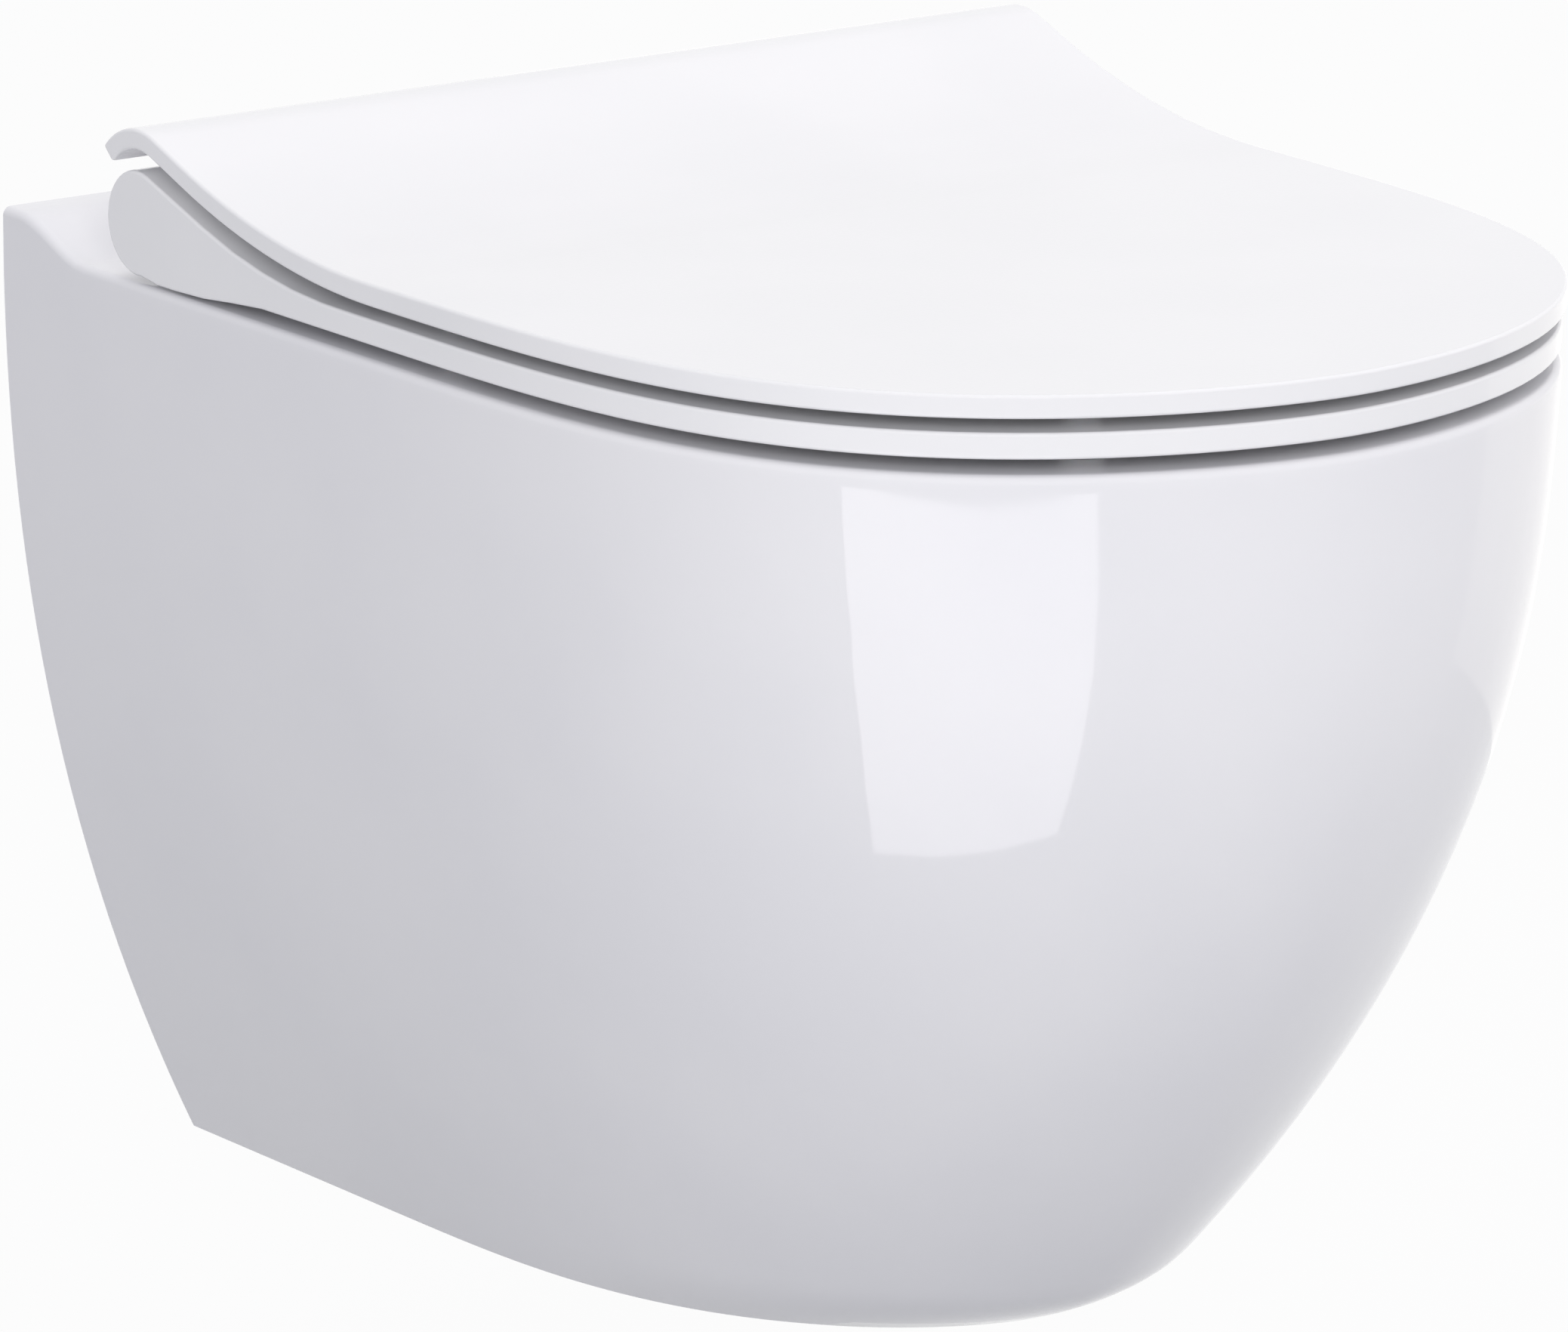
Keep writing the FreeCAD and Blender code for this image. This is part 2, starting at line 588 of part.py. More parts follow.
def build_ring():
    outer, flat_top, leave = swept_profile(AXIS, ROLL_RADIUS, RING_SLOPE_DEG, RING_SWEEP_RADIUS, RING_TOP)
    under_deg = -RING_UNDER_ROLL_DEG
    under = math.radians(under_deg)
    roll_foot = AXIS + at_yz(ROLL_RADIUS * math.cos(under), ROLL_RADIUS * math.sin(under))
    low = RING_UNDERSIDE - RING_REAR_DEPTH
    front = -RING_REACH - 10
    step = -AXIS_TO_WALL - RING_REAR_START
    knee = -AXIS_TO_WALL - RING_REAR_KNEE
    foot = -AXIS_TO_WALL - RING_REAR_FOOT
    brow = RING_UNDERSIDE - RING_REAR_STEP
    edges = outer + [
        arc(AXIS, ROLL_RADIUS, under_deg, 90 + RING_SLOPE_DEG),
        line(roll_foot, at_yz(foot, low)),
        line(at_yz(foot, low), at_yz(knee, low)),
        line(at_yz(knee, low), at_yz(step + 2 * RING_REAR_STEP, brow)),
        line(at_yz(step + 2 * RING_REAR_STEP, brow), at_yz(step, RING_UNDERSIDE)),
        line(at_yz(step, RING_UNDERSIDE), at_yz(front, RING_UNDERSIDE)),
        line(at_yz(front, RING_UNDERSIDE), at_yz(front, RING_TOP)),
        line(at_yz(front, RING_TOP), flat_top),
    ]
    sheet = profile_solid(edges, RING_HALF_WIDTH + 5)
    ring = sheet.common(seat_plan(RING_HALF_WIDTH, RING_REACH, 0, 2 * RING_TOP))
    ends = [edge for edge in sharp_edges(ring) if edge.BoundBox.XLength < RING_HALF_WIDTH + 1]
    ring = ring.makeFillet(EDGE_RADIUS, ends)
    hole = Part.Face(oval(RING_HOLE_HALF_LENGTH, RING_HOLE_HALF_WIDTH, RING_HOLE_CENTRE, 0))
    ring = ring.cut(hole.extrude(Vector(0, 0, 2 * RING_TOP)))
    brim = [edge for edge in sharp_edges(ring) if in_hole(edge.BoundBox)]
    ring = ring.makeFillet(HOLE_EDGE_RADIUS, brim)
    for window in hinge_windows():
        ring = ring.cut(window)
    bush = PIN_RADIUS + RUNNING_CLEARANCE + BUSH_WALL
    for _, side in SIDES:
        inner, outer_edge = window_edges(side)
        ring = ring.cut(rod(bush, x_on_axis(inner - side * (PIN_GRIP + GAP)), x_on_axis(inner)))
        bore_end = outer_edge + side * (DAMPER_LENGTH + GAP)
        ring = ring.cut(rod(DAMPER_RADIUS + GAP, x_on_axis(outer_edge), x_on_axis(bore_end)))
    return ring


# ---- hinge ----
def x_on_axis(x):
    return Vector(x, AXIS.y, AXIS.z)


def window_edges(side):
    """X of the inner and outer walls of a hinge window."""
    inner = side * (HINGE_X - ROSETTE_RADIUS - WINDOW_MARGIN)
    outer = side * (HINGE_X + POST_WIDTH / 2 + ARM_THICKNESS + WINDOW_MARGIN)
    return inner, outer


def build_post(side):
    """A hinge post: a barrel about the axis on a neck that plugs over the seat stud."""
    x0 = side * (HINGE_X - POST_WIDTH / 2)
    x1 = side * (HINGE_X + POST_WIDTH / 2)
    foot = RIM + ROSETTE_THICKNESS
    barrel = rod(POST_BARREL_RADIUS, x_on_axis(x0), x_on_axis(x1))
    neck = box(x0, x1, AXIS.y - POST_BARREL_RADIUS, AXIS.y + POST_BARREL_RADIUS, foot, AXIS.z)
    post = barrel.fuse(neck)
    post = post.cut(rod(PIN_RADIUS, x_on_axis(x0), x_on_axis(x1)))
    stud = Vector(side * HINGE_X, AXIS.y, foot - 1)
    socket_top = Vector(side * HINGE_X, AXIS.y, foot + SEAT_STUD_HEIGHT + GAP)
    post = post.cut(rod(SEAT_STUD_RADIUS + RUNNING_CLEARANCE, stud, socket_top))
    return post.cut(button_shape(side, 2 * RUNNING_CLEARANCE, SEAT_STUD_RADIUS, POST_BARREL_RADIUS + 1))


def button_level():
    """Height of the release buttons and of the groove in each seat stud."""
    return RIM + ROSETTE_THICKNESS + BUTTON_ABOVE_ROSETTE


def button_shape(side, grow, start, end):
    """The release button's stem, in the rear face of the post, square to the stud."""
    x = side * HINGE_X
    wide = BUTTON_HALF_WIDTH + grow
    high = BUTTON_HALF_HEIGHT + grow
    level = button_level()
    return box(x - wide, x + wide, AXIS.y + start, AXIS.y + end, level - high, level + high)


def build_button(side):
    start = SEAT_STUD_RADIUS + BUTTON_CATCH_GAP + BUTTON_TRAVEL
    end = POST_BARREL_RADIUS + BUTTON_TRAVEL + BUTTON_CATCH_GAP
    return button_shape(side, 0.0, start, end)


def build_stud(side):
    """The fixed seat stud: a locating pin above the deck with a collar and a thread below."""
    x = side * HINGE_X
    foot = RIM + ROSETTE_THICKNESS
    top = Vector(x, AXIS.y, foot + SEAT_STUD_HEIGHT)
    pin = rod(SEAT_STUD_RADIUS, Vector(x, AXIS.y, foot), top)
    groove = Vector(x, AXIS.y, button_level())
    half = Vector(0, 0, BUTTON_HALF_HEIGHT + GAP)
    pin = pin.cut(tube(SEAT_STUD_RADIUS + 1, SEAT_STUD_RADIUS - GROOVE_DEPTH, groove - half, groove + half))
    thread = rod(SEAT_THREAD_RADIUS, Vector(x, AXIS.y, foot), Vector(x, AXIS.y, foot - SEAT_THREAD_LENGTH))
    return pin.fuse(thread)


def build_rosette(side):
    x = side * HINGE_X
    low = Vector(x, AXIS.y, RIM)
    high = Vector(x, AXIS.y, RIM + ROSETTE_THICKNESS)
    return tube(ROSETTE_RADIUS, SEAT_THREAD_RADIUS, low, high)


def build_expander(side):
    """The rubber sleeve that swells under the deck when the seat stud is tightened."""
    x = side * HINGE_X
    top = Vector(x, AXIS.y, RIM - 0.5)
    bottom = Vector(x, AXIS.y, RIM - SLEEVE_LENGTH)
    return tube(SEAT_HOLE_RADIUS - GAP, SEAT_THREAD_RADIUS, top, bottom)


def build_cone_nut(side):
    x = side * HINGE_X
    top = Vector(x, AXIS.y, RIM - SLEEVE_LENGTH)
    bottom = top - Vector(0, 0, CONE_NUT_HEIGHT)
    wide = SEAT_HOLE_RADIUS - GAP
    cone = Part.makeCone(wide, wide - CONE_NUT_TAPER, CONE_NUT_HEIGHT, bottom, Vector(0, 0, 1))
    return cone.cut(rod(SEAT_THREAD_RADIUS, bottom, top))


def pin_ends(side):
    """X of the ends of a hinge pin: inside the ring's middle, and in the damper's nose."""
    inner, outer = window_edges(side)
    return inner - side * PIN_GRIP, outer + side * PIN_IN_DAMPER


def build_pin(side):
    inner, outer = pin_ends(side)
    return rod(PIN_RADIUS, x_on_axis(inner), x_on_axis(outer))


def build_bush(side):
    """The plastic bush in the ring's middle roll."""
    inner, _ = window_edges(side)
    bore = PIN_RADIUS + RUNNING_CLEARANCE
    return tube(bore + BUSH_WALL, bore, x_on_axis(inner - side * PIN_GRIP), x_on_axis(inner))


def build_damper(side):
    """The soft close damper: a barrel in the ring's roll, with the pin's end in its nose."""
    _, outer = window_edges(side)
    end = outer + side * DAMPER_LENGTH
    barrel = rod(DAMPER_RADIUS, x_on_axis(outer), x_on_axis(end))
    socket = outer + side * (PIN_IN_DAMPER + GAP)
    return barrel.cut(rod(PIN_RADIUS + RUNNING_CLEARANCE, x_on_axis(outer), x_on_axis(socket)))


def arm_edges(side):
    """X of the two faces of a lid arm, beside its post."""
    near = side * (HINGE_X + POST_WIDTH / 2 + GAP)
    return near, near + side * (ARM_THICKNESS - GAP)


def build_arm(side):
    """The lid's arm: a ring about the pin and a web up to the hook."""
    near, far = arm_edges(side)
    eye = rod(POST_BARREL_RADIUS, x_on_axis(near), x_on_axis(far))
    hook_centre = AXIS + at_yz(HOOK_OFFSET_Y, HOOK_OFFSET_Z)
    inside = HOOK_RADIUS - HOOK_THICKNESS
    web = box(near, far, AXIS.y - ARM_WEB_FRONT, AXIS.y + ARM_WEB_BACK, AXIS.z, AXIS.z + HOOK_RADIUS)
    start = Vector(near, hook_centre.y, hook_centre.z)
    stop = Vector(far, hook_centre.y, hook_centre.z)
    web = web.common(rod(inside, start, stop))
    return eye.fuse(web).cut(rod(PIN_RADIUS + RUNNING_CLEARANCE, x_on_axis(near), x_on_axis(far)))


# ---- pads, seals and small pieces ----
def pad_places(half_width):
    """Name and place of each of the four pads of the ring or the lid."""
    front = -RING_REACH + PAD_FRONT_INSET
    rear = -SHOULDER_TOP - PAD_REAR_INSET
    places = []
    for word, side in SIDES:
        places.append(("front_" + word, side * PAD_FRONT_X, front))
        places.append(("rear_" + word, side * (half_width - PAD_SIDE_INSET), rear))
    return places


def build_pad(radius, x, y, low, high):
    return Part.makeCylinder(radius, high - low, Vector(x, y, low))


def build_deflector():
    """The splash guard at the back of the bowl, where the flush water comes in."""
    rear = BOWL_CENTRE + BOWL_HALF_LENGTH
    face = rear - DEFLECTOR_STANDOFF
    front = face - DEFLECTOR_THICKNESS
    top = RIM - DEFLECTOR_DROP
    wide = DEFLECTOR_HALF_WIDTH
    plate = box(-wide, wide, front, face, SHELF + DEFLECTOR_FOOT_GAP, top)
    hood = box(-wide, wide, front, rear + DEFLECTOR_STANDOFF, top - DEFLECTOR_THICKNESS, top)
    return plate.fuse(hood).common(bowl_space(-GAP))


def build_inlet_seal():
    start = at_yz(-1, INLET_ABOVE_STUDS)
    end = start - at_yz(SEAL_LENGTH, 0)
    return tube(INLET_SOCKET_RADIUS - RUNNING_CLEARANCE, FLUSH_PIPE_RADIUS + SEAL_CLEARANCE, start, end)


# ---- wall fixings ----
def block_front():
    return -LUG_THICKNESS - SLEEVE_FLANGE - WASHER_THICKNESS


def block_middle():
    return block_front() - BLOCK_DEPTH / 2


def build_stud_sleeve(side):
    x = side * STUD_X
    back = Vector(x, 0, 0)
    lug_front = Vector(x, -LUG_THICKNESS, 0)
    flange_front = Vector(x, -LUG_THICKNESS - SLEEVE_FLANGE, 0)
    body = tube(SLEEVE_RADIUS, STUD_HOLE_RADIUS, back, flange_front)
    return body.fuse(tube(SLEEVE_FLANGE_RADIUS, STUD_HOLE_RADIUS, lug_front, flange_front))


def build_washer(side):
    x = side * STUD_X
    start = Vector(x, -LUG_THICKNESS - SLEEVE_FLANGE, 0)
    return tube(SLEEVE_FLANGE_RADIUS, STUD_HOLE_RADIUS, start, Vector(x, block_front(), 0))


def build_block(side):
    x = side * STUD_X
    half = BLOCK_SIZE / 2
    block = box(x - half, x + half, block_front(), block_front() - BLOCK_DEPTH, -half, half)
    back = Vector(x, block_front() + 1, 0)
    bore = rod(STUD_HOLE_RADIUS, back, back - Vector(0, BLOCK_DEPTH + 2, 0))
    middle = Vector(x, block_middle(), 0)
    return block.cut(bore).cut(rod(GRUB_RADIUS, middle, middle - Vector(0, 0, half + 1)))


def build_grub(side):
    x = side * STUD_X
    tip = Vector(x, block_middle(), -STUD_HOLE_RADIUS - GAP)
    foot = tip - Vector(0, 0, GRUB_LENGTH)
    corners = []
    for i in range(7):
        turn = math.radians(60 * i)
        corners.append(foot + Vector(GRUB_KEY_RADIUS * math.cos(turn), GRUB_KEY_RADIUS * math.sin(turn), 0))
    socket = Part.Face(Part.makePolygon(corners)).extrude(Vector(0, 0, GRUB_KEY_DEPTH))
    return rod(GRUB_RADIUS, tip, foot).cut(socket)


def build_access_cap(side):
    x = side * STUD_X
    at = Vector(x, block_middle(), BASE)
    stem = rod(ACCESS_HOLE_RADIUS - GAP, at, at + Vector(0, 0, CAP_STEM))
    return stem.fuse(rod(ACCESS_HOLE_RADIUS + CAP_BRIM, at, at - Vector(0, 0, CAP_THICKNESS)))


def main():
    deck, shell = build_deck_and_shell()
    write("pan_deck", deck)
    write("pan_shell", shell)
    bowl_wall, bowl_funnel = build_bowl()
    write("pan_bowl_wall", bowl_wall)
    write("pan_bowl_funnel", bowl_funnel)
    write("pan_trap", build_trap())
    write("pan_flush_horn", build_flush_horn())
    write("seat_ring", build_ring())
    write("seat_lid", build_lid())
    for word, x, y in pad_places(RING_HALF_WIDTH):
        write("ring_pad_" + word, build_pad(RING_PAD_RADIUS, x, y, RIM + PAD_CLEARANCE, RING_UNDERSIDE))
        write("lid_pad_" + word, build_pad(LID_PAD_RADIUS, x, y, RING_TOP + PAD_CLEARANCE, LID_UNDERSIDE))
    write("flush_deflector", build_deflector())
    write("inlet_seal", build_inlet_seal())
    builders = {
        "hinge_post": build_post,
        "hinge_pin": build_pin,
        "hinge_bush": build_bush,
        "release_button": build_button,
        "seat_stud": build_stud,
        "hinge_rosette": build_rosette,
        "expansion_sleeve": build_expander,
        "cone_nut": build_cone_nut,
        "lid_arm": build_arm,
        "damper": build_damper,
        "stud_sleeve": build_stud_sleeve,
        "stud_washer": build_washer,
        "fixing_block": build_block,
        "grub_screw": build_grub,
        "access_cap": build_access_cap,
    }
    for name, build in builders.items():
        for word, side in SIDES:
            write(name + "_" + word, build(side))


main()
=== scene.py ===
# %% [markdown]
# # A wall hung toilet, dressed for its picture
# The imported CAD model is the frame. Every piece below sits where that model says, in metres, with
# the wall as the plane Y = 0 and the toilet standing out towards -Y. The hinge hardware and the
# wall fixings keep their CAD meshes and get new finishes. The large glazed and moulded surfaces are
# made again here, because a gloss surface shows every facet, and well placed rows show none.

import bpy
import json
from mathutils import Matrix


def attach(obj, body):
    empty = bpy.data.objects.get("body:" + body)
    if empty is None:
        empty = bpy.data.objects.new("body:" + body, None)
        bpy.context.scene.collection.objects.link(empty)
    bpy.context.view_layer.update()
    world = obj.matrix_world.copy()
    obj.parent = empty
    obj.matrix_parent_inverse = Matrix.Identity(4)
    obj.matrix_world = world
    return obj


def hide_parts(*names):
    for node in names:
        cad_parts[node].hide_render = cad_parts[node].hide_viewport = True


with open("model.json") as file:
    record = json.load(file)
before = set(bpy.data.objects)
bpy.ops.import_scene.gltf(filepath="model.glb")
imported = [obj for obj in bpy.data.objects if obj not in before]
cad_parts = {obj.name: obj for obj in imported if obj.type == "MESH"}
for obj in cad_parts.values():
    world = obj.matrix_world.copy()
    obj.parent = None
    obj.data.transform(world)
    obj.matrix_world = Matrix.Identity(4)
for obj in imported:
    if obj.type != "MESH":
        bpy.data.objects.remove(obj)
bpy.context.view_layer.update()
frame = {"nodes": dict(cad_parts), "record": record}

# %% Modules
import json
import math

import bmesh
import bpy
from mathutils import Matrix, Vector
from mathutils.bvhtree import BVHTree

# %% [markdown]
# ## Sizes
# The toilet is modelled in millimetres, as a drawing of it would be dimensioned, and each finished
# mesh is brought down to metres once. These numbers are the ones that drive the CAD model. Heights
# are measured from the line of the wall studs, and Y from the wall.

# %% Sizes in millimetres
MM = 0.001
HALF_WIDTH = 184.5                  # of the pan, at its rim
REACH = 510.0                       # from the wall to the tip of the pan
HEIGHT = 329.0                      # from the rim to the foot
RIM = 93.7                          # height of the deck
BASE = RIM - HEIGHT
SHOULDER = 212.0                    # where the straight sides end, measured from the wall
FULLNESS, BLUNTNESS = 3.7, 1.8      # the two powers of the plan curve at the rim
HINGE_Y, HINGE_Z = -83.7, 114.4     # the line that ring and lid turn about

# %% [markdown]
# ## The plan curve
# Seen from above, pan, ring and lid all have straight sides and one blunt, rounded front. A full
# ellipse would be too pointed and a rounded rectangle too square. The curve that fits is a
# superellipse whose two powers differ: the fullness sets how long the sides stay straight, and the
# bluntness how round the tip is.

# %% The plan curve of the front
NOSE_COUNT = 40
NOSE_CROWDING = 1.5                 # above 1, points gather where the front leaves the side
NOSE_STEPS = [math.pi / 2 * (i / NOSE_COUNT) ** NOSE_CROWDING for i in range(1, NOSE_COUNT)]


def nose(angle, half_width, shoulder, reach, fullness=FULLNESS, bluntness=BLUNTNESS):
    """X and Y on the rounded front: angle 0 is the end of the side, a right angle is the tip."""
    u = math.sin(angle) ** (2 / fullness)
    x = half_width * max(0.0, 1 - u ** fullness) ** (1 / bluntness)
    return x, -(shoulder + u * (reach - shoulder))


print(len(NOSE_STEPS), "points along each half of the front")

# %% [markdown]
# ## Drawing with rows
# A large smooth surface is easiest to control as a set of rows. The first row is a chain of
# vertices, and each next row is the last one extruded, with every new vertex then moved to its own
# place. The same helpers make the side of the pan, its deck, its bowl, the lid and the ring.

# %% Row helpers
def neighbours(row, closed):
    """Each vertex of a row with the next one, and in a closed row the last with the first."""
    pairs = list(zip(row, row[1:]))
    if closed:
        pairs.append((row[-1], row[0]))
    return pairs


def start_row(bm, points, closed=False):
    """A first chain of vertices joined by edges."""
    row = [bm.verts.new(point) for point in points]
    for pair in neighbours(row, closed):
        bm.edges.new(pair)
    return row


def row_edges(bm, row, closed=False):
    """The edges that join the vertices of a row."""
    return [bm.edges.get(pair) for pair in neighbours(row, closed)]


def extrude_row(bm, row, points, closed=False):
    """Extrudes a row of edges, and moves each new vertex to the point with the same number."""
    made = bmesh.ops.extrude_edge_only(bm, edges=row_edges(bm, row, closed))
    new = {part for part in made["geom"] if isinstance(part, bmesh.types.BMVert)}
    following = []
    for vertex, point in zip(row, points):
        ends = [edge.other_vert(vertex) for edge in vertex.link_edges]
        twin = next(end for end in ends if end in new)
        twin.co = point
        following.append(twin)
    return following


# %% Point helpers
def part_way(start, end, share):
    """X and Y of the point that lies a share of the way between two points."""
    return start[0] + (end[0] - start[0]) * share, start[1] + (end[1] - start[1]) * share


def oval_point(point, centre, half_length, half_width):
    """The point of an oval that lies in the direction of a point of the outline."""
    angle = math.atan2((point[1] - centre) / half_length, point[0] / half_width)
    return half_width * math.cos(angle), centre + half_length * math.sin(angle)


# %% Edge and face helpers
def merge(bm, within):
    """Makes one vertex of those that lie within a distance of each other."""
    bmesh.ops.remove_doubles(bm, verts=bm.verts[:], dist=within)


def sharp_edges(bm, degrees=30):
    """Edges whose two faces meet at more than the given angle."""
    limit = math.radians(degrees)
    return [e for e in bm.edges if len(e.link_faces) == 2 and e.calc_face_angle() > limit]


def round_edges(bm, edges, radius, segments):
    """Rounds edges while the mesh is still in millimetres."""
    bmesh.ops.bevel(
        bm, geom=edges, offset=radius, offset_type="OFFSET", affect="EDGES",
        segments=segments, profile=0.5, material=-1, clamp_overlap=True,
    )


def face_outwards(bm, up_here):
    """Makes the normals agree, then turns them all if the face nearest to up_here looks down."""
    bmesh.ops.recalc_face_normals(bm, faces=bm.faces[:])
    place = Vector(up_here)
    probe = min(bm.faces, key=lambda face: (face.calc_center_median() - place).length)
    if probe.normal.z < 0:
        bmesh.ops.reverse_faces(bm, faces=bm.faces[:])


# %% [markdown]
# ## Finishing a piece
# A finished piece is scaled to metres in its mesh, so that its object stays at the origin unturned,
# and it is told which moving body it belongs to, which finish it takes and which CAD nodes it
# stands for.

# %% Finishing helpers
def make_object(bm, name, material):
    """An object in the scene with the bmesh as its mesh."""
    mesh = bpy.data.meshes.new(name)
    bm.to_mesh(mesh)
    bm.free()
    mesh.materials.append(material)
    made = bpy.data.objects.new(name, mesh)
    bpy.context.scene.collection.objects.link(made)
    return made


def finish_piece(bm, name, body, stands_for, material, scale=MM, sharp=35):
    """A smooth shaded piece that rides on a body; edges above the sharp angle stay crisp."""
    if scale != 1:
        bmesh.ops.scale(bm, vec=(scale, scale, scale), verts=bm.verts[:])
    piece = make_object(bm, name, material)
    mesh = piece.data
    mesh.shade_smooth()
    mesh.set_sharp_from_angle(angle=math.radians(sharp))
    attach(piece, body)
    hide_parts(*stands_for)
    print(name, len(mesh.vertices), "vertices,", len(mesh.polygons), "faces")
    return piece


# %% [markdown]
# ## Shared shader groups
# Real finishes are never quite even. Three small groups hold the effects that several materials
# share: a slow unevenness that mixes two colours and two roughness values, a fine grain in the
# surface, and the fine rings that a lathe leaves. Each material places them with its own scale and
# strength.

# %% Node helpers
def find_node(tree, kind):
    """The node of a kind that a new material already has."""
    return next(node for node in tree.nodes if node.type == kind)


def add_node(tree, kind, values=None, **settings):
    """A new node with its settings, and the values of its sockets by their names."""
    node = tree.nodes.new(kind)
    for key, value in settings.items():
        setattr(node, key, value)
    for label, value in (values or {}).items():
        node.inputs[label].default_value = value
    return node


# A Mix node has sockets for every data type: the numbers of its factor, A, B and result.
MIX_SOCKETS = {"FLOAT": (0, 2, 3, 0), "RGBA": (0, 6, 7, 2)}


def add_mix(tree, kind, factor, from_a, from_b):
    """Mixes two sockets by a third, and gives the socket of the result."""
    mix = add_node(tree, "ShaderNodeMix", data_type=kind)
    socket_factor, socket_a, socket_b, result = MIX_SOCKETS[kind]
    tree.links.new(factor, mix.inputs[socket_factor])
    tree.links.new(from_a, mix.inputs[socket_a])
    tree.links.new(from_b, mix.inputs[socket_b])
    return mix.outputs[result]


def new_group(name, inputs, outputs):
    """An empty shader group; inputs is {name: default} and outputs is {name: kind of socket}."""
    group = bpy.data.node_groups.new(name, "ShaderNodeTree")
    for label, value in inputs.items():
        kind = "NodeSocketColor" if isinstance(value, tuple) else "NodeSocketFloat"
        socket = group.interface.new_socket(name=label, in_out="INPUT", socket_type=kind)
        socket.default_value = value
    for label, kind in outputs.items():
        group.interface.new_socket(name=label, in_out="OUTPUT", socket_type=kind)
    inlet = group.nodes.new("NodeGroupInput")
    outlet = group.nodes.new("NodeGroupOutput")
    return group, inlet.outputs, outlet.inputs


# %% Slow unevenness
def make_unevenness():
    """Mixes two colours and two roughness values by a soft, large cloud pattern."""
    group, given, result = new_group(
        "slow unevenness",
        {"Scale": 10.0, "Light": (0.9, 0.9, 0.9, 1.0), "Dark": (0.85, 0.85, 0.85, 1.0),
         "Smoothest": 0.05, "Roughest": 0.1},
        {"Colour": "NodeSocketColor", "Roughness": "NodeSocketFloat", "Cloud": "NodeSocketFloat"},
    )
    place = add_node(group, "ShaderNodeTexCoord")
    cloud = add_node(group, "ShaderNodeTexNoise", {"Detail": 3.0, "Roughness": 0.45})
    spread = add_node(
        group, "ShaderNodeMapRange", {"From Min": 0.3, "From Max": 0.7},
        interpolation_type="SMOOTHSTEP",
    )
    link = group.links.new
    link(place.outputs["Object"], cloud.inputs["Vector"])
    link(given["Scale"], cloud.inputs["Scale"])
    link(cloud.outputs["Fac"], spread.inputs["Value"])
    share = spread.outputs["Result"]
    link(add_mix(group, "RGBA", share, given["Light"], given["Dark"]), result["Colour"])
    link(
        add_mix(group, "FLOAT", share, given["Smoothest"], given["Roughest"]), result["Roughness"]
    )
    link(cloud.outputs["Fac"], result["Cloud"])
    return group


UNEVENNESS = make_unevenness()
print(UNEVENNESS.name, len(UNEVENNESS.nodes), "nodes")


# %% Fine grain
def make_grain():
    """Height of a fine grain, such as spark erosion leaves in a mould."""
    group, given, result = new_group(
        "fine grain", {"Scale": 400.0, "Softness": 0.5}, {"Height": "NodeSocketFloat"}
    )
    place = add_node(group, "ShaderNodeTexCoord")
    grain = add_node(group, "ShaderNodeTexNoise", {"Detail": 2.0})
    pits = add_node(group, "ShaderNodeTexVoronoi", feature="SMOOTH_F1")
    link = group.links.new
    for pattern in (grain, pits):
        link(place.outputs["Object"], pattern.inputs["Vector"])
        link(given["Scale"], pattern.inputs["Scale"])
    height = add_mix(
        group, "FLOAT", given["Softness"], pits.outputs["Distance"], grain.outputs["Fac"]
    )
    link(height, result["Height"])
    return group


GRAIN = make_grain()
print(GRAIN.name, len(GRAIN.nodes), "nodes")


# %% Turned rings
ALONG_PIN = (1.0, 0.04, 0.04)       # a pattern drawn out across X reads as rings round a pin


def make_turning():
    """Fine parallel marks across the X axis, as a lathe leaves them along a pin."""
    group, given, result = new_group(
        "turned marks", {"Spacing": 2500.0, "Smoothest": 0.2, "Roughest": 0.35},
        {"Height": "NodeSocketFloat", "Roughness": "NodeSocketFloat"},
    )
    place = add_node(group, "ShaderNodeTexCoord")
    squeeze = add_node(group, "ShaderNodeMapping", {"Scale": ALONG_PIN})
    marks = add_node(group, "ShaderNodeTexNoise", {"Detail": 2.0})
    link = group.links.new
    link(place.outputs["Object"], squeeze.inputs["Vector"])
    link(squeeze.outputs["Vector"], marks.inputs["Vector"])
    link(given["Spacing"], marks.inputs["Scale"])
    height = marks.outputs["Fac"]
    link(height, result["Height"])
    link(
        add_mix(group, "FLOAT", height, given["Smoothest"], given["Roughest"]), result["Roughness"]
    )
    return group


TURNING = make_turning()
print(TURNING.name, len(TURNING.nodes), "nodes")


# %% [markdown]
# ## Materials
# The glaze is glass over white china: a deep gloss with a slow waviness where it ran in the kiln.
# The seat is a hard moulded resin, a little less sharp in its reflections. Chrome, turned stainless
# steel and zinc plate cover the fittings, and the pads and seals are soft and dull. Each is a
# Principled shader whose even properties are plain numbers, with the groups feeding only what
# changes over the surface.

